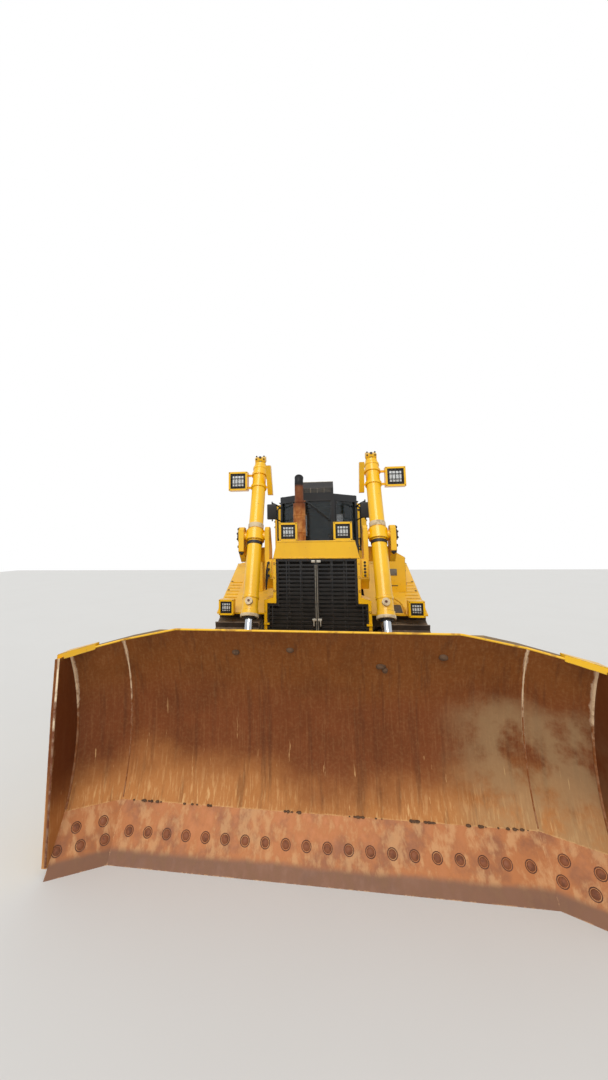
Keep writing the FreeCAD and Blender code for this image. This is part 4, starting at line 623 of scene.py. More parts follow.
# where the ground contact's middle lies in the frame
rollersLow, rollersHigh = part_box("rollers_left")
groundY = (rollersLow.y + rollersHigh.y) / 2
finishes = {
    "body_paint": paintFinish("yellowPaint", yellowPaint),
    "cab_paint": paintFinish("cabPaint", blackPaint),
    "grille_paint": paintFinish("grillePaint", dict(blackPaint, colour=srgb(14, 14, 16), faded=srgb(28, 28, 29), wear=0.5, dustAmount=0.08)),
    "frame_steel": paintFinish("framePaint", framePaint),
    "blade_rust": bladeFinish(),
    "edge_steel": edgeFinish(),
    "track_steel": steelFinish("trackSteel", srgb(58, 50, 46), srgb(150, 140, 132), srgb(146, 122, 94)),
    "wheel_steel": steelFinish("wheelSteel", srgb(44, 40, 38), srgb(140, 132, 124), srgb(132, 112, 88), dustAmount=0.9),
    "chrome": chromeFinish(),
    "exhaust": exhaustFinish(),
    "glass": glassFinish("cabGlass", srgb(38, 46, 48), 0.42),
    "lamp": paintFinish("lampPaint", dict(yellowPaint, dustAmount=0.1, wear=0.35)),
    "core": steelFinish("coreFins", srgb(40, 38, 36), srgb(90, 84, 78), srgb(120, 104, 84), rough=0.7, metal=0.3),
    "seat": fabricFinish(),
    "trim": rubberFinish("blackTrim", srgb(28, 28, 29), 0.6),
    "boltRust": flakeFinish("boltRust", srgb(132, 74, 40), srgb(74, 42, 28), srgb(196, 140, 96)),
    # boltDark: a dark rust brown, used as painted shade in the recesses round the edge bolt heads and for the oil
    # ports' dark mouths
    "boltDark": flakeFinish("boltSocket", srgb(92, 50, 28), srgb(66, 38, 24), srgb(150, 96, 60)),
    "boltSteel": flakeFinish("boltSteel", srgb(64, 58, 54), srgb(104, 74, 52), srgb(168, 158, 148), metal=0.4),
    "boltBlack": flakeFinish("boltBlack", srgb(30, 29, 30), srgb(70, 58, 48), srgb(120, 112, 104), rough=0.5),
    "seamWeld": weldFinish("seamWeld", srgb(226, 196, 158), srgb(132, 74, 30)),
    "lipPaint": flakeFinish("lipPaint", srgb(240, 186, 44), srgb(150, 92, 44), srgb(236, 206, 150), share=0.6, scale=9.0),
    "rimWorn": weldFinish("rimWorn", srgb(240, 220, 186), srgb(110, 58, 30)),
    "clodEarth": flakeFinish("clodEarth", srgb(92, 66, 44), srgb(54, 36, 24), srgb(128, 96, 66), scale=30.0, rough=0.85, metal=0.0),
    "olivePaint": flakeFinish("oliveNeck", srgb(92, 74, 34), srgb(50, 40, 24), srgb(150, 128, 70), scale=22.0, rough=0.5),
    "palePaint": flakeFinish("palePaint", srgb(206, 186, 150), srgb(140, 116, 84), srgb(232, 218, 190), share=0.5),
    "paleSteel": flakeFinish("paleSteel", srgb(196, 190, 176), srgb(140, 130, 112), srgb(226, 222, 212), metal=0.5, rough=0.4),
    "lensWhite": flakeFinish("lensWhite", srgb(214, 216, 214), srgb(170, 174, 176), srgb(240, 240, 238), share=0.4, rough=0.22, metal=0.0),
    "lensAmber": flakeFinish("lensAmber", srgb(214, 120, 20), srgb(170, 84, 12), srgb(240, 170, 80), share=0.3, rough=0.25, metal=0.0),
    "lensRed": flakeFinish("lensRed", srgb(168, 24, 18), srgb(110, 14, 12), srgb(220, 90, 70), share=0.3, rough=0.25, metal=0.0),
    "mirror": flakeFinish("mirrorFace", srgb(196, 202, 206), srgb(150, 156, 160), srgb(210, 210, 210), share=0.2, rough=0.16, metal=0.9),
    "grayPlate": flakeFinish("grayPlate", srgb(118, 112, 100), srgb(76, 68, 58), srgb(160, 152, 138), share=0.5),
    "grip": rubberFinish("blackGrip", srgb(22, 22, 23), 0.5),
}
slotOf = {entry["node"]: entry["material_slot"] for entry in frame["record"]["subparts"]}
for node, piece in frame["nodes"].items():
    piece.data.materials.clear()
    piece.data.materials.append(finishes[slotOf[node]])
print("finishes on", len(frame["nodes"]), "nodes")

# ---- places, with y measured from the middle of the ground contact


def at(x, y, z):
    return Vector((x, y + groundY, z))


def nodeBox(node):
    # corners with y measured from the middle of the ground contact
    low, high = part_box(node)
    return Vector((low.x, low.y - groundY, low.z)), Vector((high.x, high.y - groundY, high.z))


def addTube(points, radius, sides=10, closed=False):
    clearSelection()
    line = bpy.data.curves.new("tube", "CURVE")
    line.dimensions = "3D"
    run = line.splines.new("NURBS")
    run.points.add(len(points) - 1)
    for spot, point in zip(run.points, points):
        spot.co = (*point, 1.0)
    run.order_u = 3
    run.use_endpoint_u = True
    run.use_cyclic_u = closed
    run.resolution_u = 6
    line.bevel_depth = radius
    line.bevel_resolution = max(0, (sides - 4) // 2)
    line.use_fill_caps = True
    piece = bpy.data.objects.new("tube", line)
    bpy.context.collection.objects.link(piece)
    clearSelection()
    piece.select_set(True)
    bpy.context.view_layer.objects.active = piece
    bpy.ops.object.convert(target="MESH")
    return bpy.context.object


def turnTo(direction, up="Y"):
    return Vector(direction).to_track_quat("Z", up).to_matrix().to_4x4()


def makeBolt(radius, height, washer=0.0, sides=6):
    # a hex head on its washer, standing on z = 0
    clearSelection()
    bpy.ops.mesh.primitive_cylinder_add(vertices=sides, radius=radius, depth=height, location=(0, 0, height / 2))
    head = applyPlace(bpy.context.object)
    bpy.ops.object.mode_set(mode="EDIT")
    bpy.ops.mesh.select_all(action="DESELECT")
    bpy.ops.object.mode_set(mode="OBJECT")
    for face in head.data.polygons:
        face.select = face.normal.z > 0.9
    bpy.ops.object.mode_set(mode="EDIT")
    bpy.ops.mesh.inset(thickness=radius * 0.2)
    bpy.ops.transform.translate(value=(0, 0, height * 0.22))
    bpy.ops.object.mode_set(mode="OBJECT")
    if not washer:
        return head
    ring = addRod((0, 0, -0.001), (0, 0, height * 0.22), washer, sides=12)
    return joinPieces("bolt", [head, ring])


def makeDome(radius, height, sides=12):
    # a round-headed bolt or cap, standing on z = 0
    clearSelection()
    bpy.ops.mesh.primitive_uv_sphere_add(segments=sides, ring_count=6, radius=radius)
    dome = bpy.context.object
    dome.scale = (1, 1, height / radius)
    applyPlace(dome)
    bpy.ops.object.mode_set(mode="EDIT")
    bpy.ops.mesh.select_all(action="SELECT")
    bpy.ops.mesh.bisect(plane_co=(0, 0, -height * 0.1), plane_no=(0, 0, 1), clear_inner=True, use_fill=True)
    bpy.ops.object.mode_set(mode="OBJECT")
    return dome


def scatter(name, model, places, keep=False):
    # copies of one model at (place, direction) pairs, joined into one piece
    twins = [copyPiece(model, place, turnTo(direction)) for place, direction in places]
    if not keep:
        bpy.data.objects.remove(model)
    return joinPieces(name, twins)


def bothSides(places):
    return places + [((Vector(p) * Vector((-1, 1, 1))), (Vector(d) * Vector((-1, 1, 1)))) for p, d in places]


# ---- blade: bolts, welds, worn rims, dried mud
blade = dict(faceY=-2.850, deepY=-2.588, deepZ=0.850, top=1.690, edgeTop=(-2.700, 0.330), edgeTip=(-2.914, 0.0),
             seamX=1.560, endX=1.930, wingAngle=28.0, slopeStart=1.090, slopeFall=0.22)


def arcCentre(a, b, c):
    # centre and radius of the circle through three (y, z) points
    ax, ay, bx, by, cx, cy = *a, *b, *c
    d = 2 * (ax * (by - cy) + bx * (cy - ay) + cx * (ay - by))
    u = ((ax ** 2 + ay ** 2) * (by - cy) + (bx ** 2 + by ** 2) * (cy - ay) + (cx ** 2 + cy ** 2) * (ay - by)) / d
    v = ((ax ** 2 + ay ** 2) * (cx - bx) + (bx ** 2 + by ** 2) * (ax - cx) + (cx ** 2 + cy ** 2) * (bx - ax)) / d
    return u, v, math.hypot(ax - u, ay - v)


arcY, arcZ, arcRadius = arcCentre((blade["faceY"], blade["top"]), (blade["deepY"], blade["deepZ"]), blade["edgeTop"])
wing = math.radians(blade["wingAngle"])


def faceAt(z):
    return arcY + math.sqrt(arcRadius ** 2 - (z - arcZ) ** 2)


def topAt(x):
    return blade["top"] - max(0.0, abs(x) - blade["slopeStart"]) * blade["slopeFall"]


def onWing(point):
    # a place on the middle's face, carried over the seam on to the swept left wing
    away = blade["seamX"] - point[0]
    return Vector((blade["seamX"] + away, point[1] - away * math.tan(wing), point[2]))


def wingWay(direction):
    return Vector((direction[1] * math.tan(wing), direction[1], direction[2])).normalized()


edgeBolts = dict(pitch=0.1524, count=10, radius=0.027, height=0.012, row=0.52, bitLow=0.40, bitHigh=0.70,
                 bitLowPlaces=(0.055, 0.205, 0.345), bitHighPlaces=(0.095, 0.265), recess=0.034)
edgeRun = Vector((0, blade["edgeTop"][0] - blade["edgeTip"][0], blade["edgeTop"][1]))
edgeOut = Vector((0, -edgeRun.z, edgeRun.y)).normalized()
spots = []
for i in range(edgeBolts["count"]):
    spots.append(Vector(((i + 0.5) * edgeBolts["pitch"], blade["edgeTip"][0], 0)) + edgeRun * edgeBolts["row"])
boltPlaces = [(at(*spot), edgeOut) for spot in spots]
for row, places in (("bitLow", "bitLowPlaces"), ("bitHigh", "bitHighPlaces")):
    for share in edgeBolts[places]:
        spot = Vector((blade["seamX"] - share, blade["edgeTip"][0], 0)) + edgeRun * edgeBolts[row]
        boltPlaces.append((at(*onWing(spot)), wingWay(edgeOut)))
boltPlaces = bothSides(boltPlaces)
finishPiece(scatter("edgeBoltHeads", makeDome(edgeBolts["radius"], edgeBolts["height"]), boltPlaces),
            "blade", finishes["boltRust"])
# dark rings round the bolt heads: painted shade in the countersunk recesses
clearSelection()
bpy.ops.mesh.primitive_torus_add(major_radius=edgeBolts["recess"], minor_radius=0.0035, major_segments=14, minor_segments=5)
recess = bpy.context.object
bpy.ops.object.mode_set(mode="EDIT")
bpy.ops.transform.resize(value=(1, 1, 0.6))
bpy.ops.object.mode_set(mode="OBJECT")
finishPiece(scatter("edgeBoltRecessShade", recess, boltPlaces), "blade", finishes["boltDark"])

welds = dict(seamRadius=0.005, endRadius=0.011, low=0.345, steps=16, rimRadius=0.010, lipRadius=0.008)


def beadLine(low, high, turn):
    line = []
    for i in range(welds["steps"] + 1):
        z = low + (high - low) * i / welds["steps"]
        depth = faceAt(z) - blade["faceY"]
        line.append(turn(z, depth))
    return line


seamTop = topAt(blade["seamX"]) - 0.01
seamLine = beadLine(welds["low"], seamTop, lambda z, d: at(
    blade["seamX"], blade["faceY"] + d - 0.001, z))
endRun = blade["endX"] - blade["seamX"]
endLine = beadLine(welds["low"], topAt(blade["endX"]) - 0.01, lambda z, d: at(
    blade["endX"] - 0.001, blade["faceY"] - endRun * math.tan(wing) + d - 0.002, z))
seamBeads = [addTube(seamLine, welds["seamRadius"], 6), addTube(endLine, welds["endRadius"], 8)]
seamBeads += [mirrorPiece(bead) for bead in seamBeads]
finishPiece(joinPieces("bladeSeamWelds", seamBeads), "blade", finishes["seamWeld"])

bladeLow, bladeHigh = nodeBox("blade")
lipEnd = blade["faceY"] - endRun * math.tan(wing)
lipLine = [at(x, faceAt(topAt(x)) + 0.006, topAt(x) + 0.001) for x in (0, 0.5, 1.05, 1.09, 1.13, 1.25, 1.4, 1.5, 1.56)]
wingLip = [at(x, faceAt(topAt(x)) - (x - blade["seamX"]) * math.tan(wing) + 0.006, topAt(x) + 0.001)
           for x in (1.55, 1.60, 1.70, 1.80, 1.90, 1.93)]
lips = [addTube(lipLine, welds["lipRadius"], 6), addTube(wingLip, welds["lipRadius"], 6)]
lips += [mirrorPiece(lip) for lip in lips]
finishPiece(joinPieces("bladeTopLip", lips), "blade", finishes["lipPaint"])

# yellow corner gussets behind the top ends
gusset = dict(thick=0.048, inner=1.76, outer=1.965, front=0.0, back=0.16, drop=-0.030)


def cornerGusset():
    x0, x1 = gusset["inner"], gusset["outer"]
    y0 = faceAt(topAt(x0)) - (x0 - blade["seamX"]) * math.tan(wing)
    y1 = lipEnd
    piece = addBox(at(x0, -0.1, 0), at(x1, 0.1, gusset["thick"]), 0.006)
    for vertex in piece.data.vertices:
        share = (vertex.co.x - x0) / (x1 - x0)
        face = y0 + (y1 - y0) * share
        backward = gusset["back"] * (0.35 + 0.65 * share) if vertex.co.y > at(0, 0, 0).y else gusset["front"]
        vertex.co.y = at(0, face + backward, 0).y
        vertex.co.z += topAt(vertex.co.x) - gusset["thick"] - gusset["drop"]
    return piece


corner = cornerGusset()
finishPiece(joinPieces("bladeCornerGussets", [corner, mirrorPiece(corner)]), "blade", finishes["body_paint"])

# worn front rims of the end plates
rim = dict(thick=0.017, deep=0.012)
rimLine = ((-3.0807, 0.07), (-3.0767, 1.10), (lipEnd - 0.012, topAt(blade["endX"]) - 0.012))
rims = []
for side in (1, -1):
    for (lowY, lowZ), (highY, highZ) in zip(rimLine, rimLine[1:]):
        strip = addBox(at(side * (blade["endX"] + 0.009) - rim["thick"] / 2, -rim["deep"] / 2, 0),
                       at(side * (blade["endX"] + 0.009) + rim["thick"] / 2, rim["deep"] / 2, 1.0), 0.004)
        for vertex in strip.data.vertices:
            share = vertex.co.z
            vertex.co.y += lowY + (highY - lowY) * share + 0.001
            vertex.co.z = lowZ + (highZ - lowZ) * share
        rims.append(strip)
finishPiece(joinPieces("endPlateRims", rims), "blade", finishes["rimWorn"])

# clods of dried mud on the ledge over the cutting edge, and splashes on the face
mud = dict(count=60, low=0.005, high=0.016, splashes=((-0.62, 1.50), (-0.18, 1.53), (0.98, 1.50), (0.55, 1.38), (0.52, 1.41)))


def addClod(spot, size, flat=0.6):
    clearSelection()
    bpy.ops.mesh.primitive_ico_sphere_add(subdivisions=2, radius=size)
    clod = bpy.context.object
    for vertex in clod.data.vertices:
        vertex.co *= random.uniform(0.78, 1.12)
    bpy.ops.object.mode_set(mode="EDIT")
    bpy.ops.mesh.select_all(action="SELECT")
    bpy.ops.mesh.vertices_smooth(factor=0.4, repeat=1)
    bpy.ops.transform.resize(value=(random.uniform(0.9, 1.5), 1.0, flat))
    bpy.ops.object.mode_set(mode="OBJECT")
    clod.data.transform(Matrix.Translation(spot))
    return clod


clods = []
for i in range(mud["count"]):
    cluster = random.choice((-1.35, -0.9, -0.2, 0.35, 0.8, 1.15, 1.3, 1.42))
    x = max(-1.5, min(1.5, random.gauss(cluster, 0.06)))
    size = random.uniform(mud["low"], mud["high"])
    z = blade["edgeTop"][1] + size * 0.3
    clods.append(addClod(at(x, faceAt(z) - size * 0.35, z), size))
for x, z in mud["splashes"]:
    clods.append(addClod(at(x, faceAt(z), z), 0.028, 1.0))
finishPiece(joinPieces("bladeMudClods", clods), "blade", finishes["clodEarth"], 60)
print("blade dressed")

# ---- lift cylinders: collars, ports, bolts, pipes
lift = dict(x=0.700, y=-1.400, z=2.450, eyeY=-2.180, eyeZ=0.640, up=0.960, down=0.925, radius=0.084,
            collarBand=0.098, ringBand=0.094, glandBand=0.100)
liftLean = math.atan2(lift["z"] - lift["eyeZ"], lift["eyeY"] - lift["y"])
liftDown = Vector((0, lift["eyeY"] - lift["y"], lift["eyeZ"] - lift["z"])).normalized()
liftOut = Vector((0, -liftDown.z, liftDown.y)).normalized()
if liftOut.y > 0:
    liftOut = -liftOut
liftCentre = Vector((lift["x"], lift["y"], lift["z"]))


def onLift(along, out=0.0, side=0.0):
    # a place beside the barrel: along its axis downwards, out towards the front, side away from the middle
    spot = liftCentre + liftDown * along + liftOut * out + Vector((side, 0, 0))
    return at(spot.x, spot.y, spot.z)


def addRing(start, end, radius, wall, sides=32, bevel=0.003):
    # a hollow band round a bar
    clearSelection()
    start, end = Vector(start), Vector(end)
    along = end - start
    bpy.ops.mesh.primitive_cylinder_add(vertices=sides, radius=radius, depth=along.length, end_fill_type="NOTHING",
                                        location=(start + end) / 2)
    ring = bpy.context.object
    ring.rotation_mode = "QUATERNION"
    ring.rotation_quaternion = along.to_track_quat("Z", "Y")
    applyPlace(ring)
    thick = ring.modifiers.new("wall", "SOLIDIFY")
    thick.thickness = wall
    thick.offset = -1
    soft = ring.modifiers.new("rounding", "BEVEL")
    soft.width = bevel
    soft.segments = 2
    soft.limit_method = "ANGLE"
    for name in ("wall", "rounding"):
        bpy.ops.object.modifier_apply(modifier=name)
    return ring


def dressLift():
    parts = {"yellow": [], "pale": [], "black": [], "dark": [], "bolt": [], "chrome": []}
    r = lift["radius"]
    # pale worn band above the trunnion collar, black seal ring below it
    parts["pale"].append(addRing(onLift(-0.145), onLift(-0.085), r + 0.007, 0.012))
    parts["black"].append(addRing(onLift(0.080), onLift(0.118), r + 0.006, 0.011))
    # weld ring at the cap end, lip and gland at the rod end
    parts["yellow"].append(addRing(onLift(-0.955), onLift(-0.920), r + 0.005, 0.010))
    parts["yellow"].append(addRing(onLift(0.700), onLift(0.735), r + 0.006, 0.011))
    parts["pale"].append(addRing(onLift(0.898), onLift(0.930), r + 0.014, 0.020))
    parts["black"].append(addRod(onLift(0.926), onLift(0.948), 0.062, 28, 0.003))
    # oil port near the rod end, with a dark mouth and four cap screws
    port = 0.780
    parts["pale"].append(addRod(onLift(port, r - 0.02), onLift(port, r + 0.028), 0.040, 24, 0.004))
    parts["dark"].append(addRod(onLift(port, r + 0.020), onLift(port, r + 0.0295), 0.014, 20, 0.002))
    screw = makeBolt(0.0085, 0.008, 0.011)
    small = makeBolt(0.0055, 0.005)
    for turn in range(4):
        angle = full * (turn + 0.5) / 4
        spot = onLift(port + math.cos(angle) * 0.029, r + 0.0275, math.sin(angle) * 0.029)
        parts["pale"].append(copyPiece(small, spot, turnTo(liftOut)))
    for turn in range(10):
        angle = full * (turn + 0.5) / 10
        spot = onLift(0.929, math.cos(angle) * (r - 0.006), math.sin(angle) * (r - 0.006))
        parts["bolt"].append(copyPiece(screw, spot, turnTo(liftDown)))
    # cap screws on the oil block above the cap end, and its plug
    block = -1.080
    parts["yellow"].append(addRod(onLift(-1.000), onLift(block), 0.035, 24, 0.004))
    oilBlock = addBox((-0.0675, -0.0525, -0.0365), (0.0675, 0.0525, 0.0365), 0.007)
    oilBlock.data.transform(Matrix.Translation(onLift(block)) @ Matrix.Rotation(liftLean - math.pi / 2, 4, "X"))
    parts["yellow"].append(oilBlock)
    for along in (-0.022, 0.022):
        for side in (-0.048, 0.048):
            parts["bolt"].append(copyPiece(screw, onLift(block + along, 0.052, side), turnTo(liftOut)))
    parts["black"].append(addRod(onLift(block, 0.048), onLift(block, 0.066), 0.018, 6, 0.002))
    bpy.data.objects.remove(screw)
    bpy.data.objects.remove(small)
    # steel oil pipe down the inner rear side of the barrel, held by two clips
    rear, inner = -(r + 0.030), -0.045
    parts["pipe"] = [addTube([onLift(block + 0.005, -0.045, -0.03), onLift(block + 0.035, -0.10, -0.045),
                              onLift(-0.86, rear - 0.005, inner), onLift(-0.5, rear, inner),
                              onLift(-0.19, rear, inner)], 0.013, 10)]
    for along in (-0.74, -0.34):
        parts["black"].append(addRod(onLift(along - 0.018, rear + 0.012, inner), onLift(along + 0.018, rear + 0.012, inner), 0.022, 12, 0.003))
    # olive sleeve on the neck under the oil block
    parts["olive"] = [addRing(onLift(-1.046), onLift(-1.004), 0.0385, 0.004)]
    return parts


liftFinish = {"yellow": ("body_paint", "body_paint"), "pale": ("palePaint", "body_paint"), "black": ("boltBlack", "frame_steel"),
              "dark": ("boltSocket", "frame_steel"), "bolt": ("boltSteel", "frame_steel"), "pipe": ("boltBlack", "frame_steel"), "olive": ("olivePaint", "frame_steel")}
finishes["boltSocket"] = finishes["boltDark"]
for side, word in ((1, "Left"), (-1, "Right")):
    made = dressLift()
    for kind, pieces in made.items():
        if not pieces:
            continue
        whole = joinPieces("liftBarrel" + kind.capitalize() + word, pieces)
        if side < 0:
            flipped = mirrorPiece(whole)
            bpy.data.objects.remove(whole)
            whole = flipped
            whole.name = whole.data.name = "liftBarrel" + kind.capitalize() + word
        look, place = liftFinish[kind]
        finishPiece(whole, "lift_barrel_" + word.lower(), finishes[look])

# ---- yokes: trunnion caps and their bolts (the plates' bolts and dark feet come further down)
yokes = dict(outer=0.884, capX=0.892, pinZ=2.450, pinY=-1.400, capRadius=0.062, footZ=1.905, boltRing=0.045)
caps, capBolts = [], []
for side in (1, -1):
    start = at(side * (yokes["outer"] - 0.004), yokes["pinY"], yokes["pinZ"])
    caps.append(addRod(start, start + Vector((side * 0.022, 0, 0)), yokes["capRadius"], 28, 0.006))
    for turn in range(4):
        angle = full * (turn + 0.5) / 4
        spot = start + Vector((side * 0.022, math.cos(angle) * yokes["boltRing"], math.sin(angle) * yokes["boltRing"]))
        capBolts.append((spot, Vector((side, 0, 0))))
finishPiece(joinPieces("trunnionCaps", caps), "machine", finishes["boltSteel"])
finishPiece(scatter("trunnionCapBolts", makeBolt(0.011, 0.010, 0.014), capBolts), "machine", finishes["boltSteel"])
print("lift cylinders dressed")

# ---- lamps: bezels, lenses and guard bars in the square boxes
lamps = dict(wall=0.022, lensInset=0.036, lensFace=0.022, bars=2, barWidth=0.007, barDepth=0.012, screw=0.006)


def dressLamp(x, face, z, size):
    # a black recess, a pale lens with a ribbed face, and a guard of flat bars across the opening
    half = size / 2
    inner = half - lamps["wall"]
    lens = inner - 0.014
    made = {}
    back = addBox(at(x - inner + 0.001, face + 0.0175, z - inner + 0.001), at(x + inner - 0.001, face + 0.0218, z + inner - 0.001), 0.001)
    rimBox = [addBox(at(x - inner, face + 0.012, z - inner), at(x - inner + 0.008, face + 0.039, z + inner), 0.001),
              addBox(at(x + inner - 0.008, face + 0.012, z - inner), at(x + inner, face + 0.039, z + inner), 0.001),
              addBox(at(x - inner, face + 0.012, z - inner), at(x + inner, face + 0.039, z - inner + 0.008), 0.001),
              addBox(at(x - inner, face + 0.012, z + inner - 0.008), at(x + inner, face + 0.039, z + inner), 0.001)]
    made["black"] = [back] + rimBox
    glass = addBox(at(x - lens * 0.84, face + 0.011, z - lens * 0.78), at(x + lens * 0.84, face + 0.0185, z + lens * 0.78), 0.003)
    ribs = [addBox(at(x + lens * step - 0.002, face + 0.0090, z - lens * 0.6), at(x + lens * step + 0.002, face + 0.012, z + lens * 0.6), 0.001)
            for step in (-0.5, -0.3, -0.1, 0.1, 0.3, 0.5)]
    made["lens"] = [glass] + ribs
    wide = lamps["barWidth"]
    bars = []
    for i in range(lamps["bars"]):
        spot = z - inner + 2 * inner * (i + 1) / (lamps["bars"] + 1)
        bars.append(addBox(at(x - inner, face + 0.001, spot - wide / 2), at(x + inner, face + 0.006, spot + wide / 2), 0.001))
    for step in (-0.42, 0.0, 0.42):
        bars.append(addBox(at(x + inner * step - wide / 2, face + 0.0005, z - inner), at(x + inner * step + wide / 2, face + 0.0055, z + inner), 0.001))
    made["bars"] = bars
    screw = makeDome(lamps["screw"], 0.004, 10)
    edge = half - lamps["wall"] / 2
    made["screws"] = [copyPiece(screw, at(x + a * edge, face, z + b * edge), turnTo((0, -1, 0))) for a in (-1, 1) for b in (-1, 1)]
    bpy.data.objects.remove(screw)
    return made


lampFinish = {"black": ("boltBlack", "cab_paint"), "lens": ("lensWhite", "lamp"), "bars": ("grilleBar", "cab_paint"),
              "screws": ("boltSteel", "frame_steel")}
finishes["grilleBar"] = flakeFinish("grilleBar", srgb(26, 26, 28), srgb(60, 54, 48), srgb(140, 134, 126), rough=0.45)


def fitLamps(node, body, label, faces):
    gathered = {}
    for x, face, z, size in faces:
        for kind, pieces in dressLamp(x, face, z, size).items():
            gathered.setdefault(kind, []).extend(pieces)
    for kind, pieces in gathered.items():
        look, place = lampFinish[kind]
        finishPiece(joinPieces(label + kind.capitalize(), pieces), body, finishes[look])


hoodLow, hoodHigh = nodeBox("hood_lamps")
hoodSize = hoodHigh.z - hoodLow.z
fitLamps("hood_lamps", "machine", "hoodLamp",
         [(side * (hoodHigh.x - hoodSize / 2), hoodLow.y, (hoodLow.z + hoodHigh.z) / 2, hoodSize) for side in (-1, 1)])
fenderLow, fenderHigh = nodeBox("fender_lamps")
fenderSize = fenderHigh.z - fenderLow.z
fitLamps("fender_lamps", "machine", "fenderLamp",
         [(side * (fenderHigh.x - fenderSize / 2), fenderLow.y, (fenderLow.z + fenderHigh.z) / 2, fenderSize) for side in (-1, 1)])
liftUp, liftAway, liftSize = 0.751, 0.256, 0.235
lampMiddle = Vector((lift["x"] + liftAway, 0, 0)) + liftCentre * Vector((0, 1, 1)) - liftDown * Vector((0, 1, 1)) * liftUp
# one lamp on each barrel
for side, word in ((1, "left"), (-1, "right")):
    fitLamps("lift_lamp_" + word, "lift_barrel_" + word, "liftLamp" + word.capitalize(),
             [(side * lampMiddle.x, lampMiddle.y - 0.090, lampMiddle.z, liftSize)])
print("lamps dressed")

# ---- grille doors, guard and hood
grille = dict(face=-1.496, low=0.965, step=1.701, high=2.185, lowHalf=0.546, highHalf=0.443, rim=0.022)
for side, word in ((1, "left"), (-1, "right")):
    strip = addBox(at(side * 0.0045, grille["face"] - 0.006, grille["low"] + 0.012), at(side * 0.0150, grille["face"] + 0.002, grille["high"] - 0.06), 0.002)
    latch = [addBox(at(side * 0.006, grille["face"] - 0.012, z), at(side * 0.052, grille["face"] + 0.002, z + 0.026), 0.003)
             for z in (grille["high"] - 0.036, 1.52)]
    latch.append(addRod(at(side * 0.036, grille["face"] - 0.012, 1.533), at(side * 0.036, grille["face"] - 0.026, 1.533), 0.011, 14, 0.002))
    latch.append(addBox(at(side * 0.030, grille["face"] - 0.032, 1.470), at(side * 0.042, grille["face"] - 0.024, 1.545), 0.003))
    finishPiece(joinPieces("grilleSeamStrip" + word.capitalize(), [strip]), "grille_door_" + word, finishes["grayPlate"])
    finishPiece(joinPieces("grilleLatches" + word.capitalize(), latch), "grille_door_" + word, finishes["paleSteel"])
    spots = []
    for z in (1.05, 1.25, 1.45, 1.65):
        spots.append((at(side * (grille["lowHalf"] - 0.011), grille["face"], z), Vector((0, -1, 0))))
    for z in (1.80, 1.98, 2.15):
        spots.append((at(side * (grille["highHalf"] - 0.011), grille["face"], z), Vector((0, -1, 0))))
    for x in (0.09, 0.2, 0.31, 0.42):
        spots.append((at(side * x, grille["face"], grille["high"] - 0.011), Vector((0, -1, 0))))
        spots.append((at(side * x, grille["face"], grille["low"] + 0.011), Vector((0, -1, 0))))
    finishPiece(scatter("grilleScrews" + word.capitalize(), makeDome(0.008, 0.005, 10), spots), "grille_door_" + word, finishes["boltSteel"])
    # upright stiffening bars over the louvres
    bars = [addBox(at(side * x - 0.004, grille["face"] - 0.001, grille["low"] + 0.02), at(side * x + 0.004, grille["face"] + 0.004, top), 0.001)
            for x, top in ((0.1759, grille["high"] - 0.02), (0.3303, grille["high"] - 0.02), (0.492, grille["step"] - 0.02))]
    finishPiece(joinPieces("grilleUprights" + word.capitalize(), bars), "grille_door_" + word, finishes["grilleBar"])

guard = dict(face=-1.500, top=2.390, panel=2.190, lowHalf=0.585, highHalf=0.482, topHalf=0.460)
# a folded lip along the top panel and a raised seam under it
lip = addBox(at(-guard["highHalf"] + 0.004, guard["face"] - 0.006, guard["panel"] + 0.004), at(guard["highHalf"] - 0.004, guard["face"] + 0.003, guard["panel"] + 0.016), 0.002)
lid = addBox(at(-guard["topHalf"] + 0.03, guard["face"] - 0.004, guard["top"] - 0.014), at(guard["topHalf"] - 0.03, guard["face"] + 0.006, guard["top"] + 0.002), 0.003)
finishPiece(joinPieces("guardPanelLips", [lip, lid]), "machine", finishes["body_paint"])
guardBolts = []
for side in (-1, 1):
    for z in (1.02, 1.22, 1.42, 1.62):
        guardBolts.append((at(side * (guard["lowHalf"] - 0.015), guard["face"], z), Vector((0, -1, 0))))
    for z in (1.84, 1.99, 2.14):
        guardBolts.append((at(side * (guard["highHalf"] - 0.014), guard["face"], z), Vector((0, -1, 0))))
finishPiece(scatter("guardBolts", makeBolt(0.010, 0.008, 0.014), guardBolts), "machine", finishes["body_paint"])

# bolted plates and hose fittings on the yokes' cheeks beside the grille
cheek = dict(x=0.532, face=-1.478, low=1.985, high=2.170, half=0.034)
plates, plateBolts, fittings, fittingPipes = [], [], [], []
for side in (-1, 1):
    plates.append(addBox(at(side * cheek["x"] - cheek["half"], cheek["face"] - 0.012, cheek["low"]),
                         at(side * cheek["x"] + cheek["half"], cheek["face"] + 0.002, cheek["high"]), 0.004))
    for i in range(5):
        z = cheek["low"] + 0.022 + i * 0.0352
        if side > 0:
            plateBolts.append((at(cheek["x"], cheek["face"] - 0.012, z), Vector((0, -1, 0))))
        elif i % 2 == 0:
            start = at(-cheek["x"], cheek["face"] - 0.010, z)
            fittings.append(addRod(start, start + Vector((0, -0.030, 0)), 0.016, 6, 0.002))
            fittings.append(addRod(start + Vector((0, -0.028, 0)), start + Vector((0, -0.044, 0)), 0.012, 12, 0.002))
            fittingPipes.append(addTube([start + Vector((0, -0.042, 0)), start + Vector((0.0, -0.060, -0.004)),
                                         start + Vector((-0.018, -0.058, -0.09)), start + Vector((-0.026, -0.034, -0.16)),
                                         at(-cheek["x"] - 0.030, cheek["face"] - 0.004, 1.862)], 0.0085, 8))
finishPiece(joinPieces("cheekPlates", plates), "machine", finishes["body_paint"])
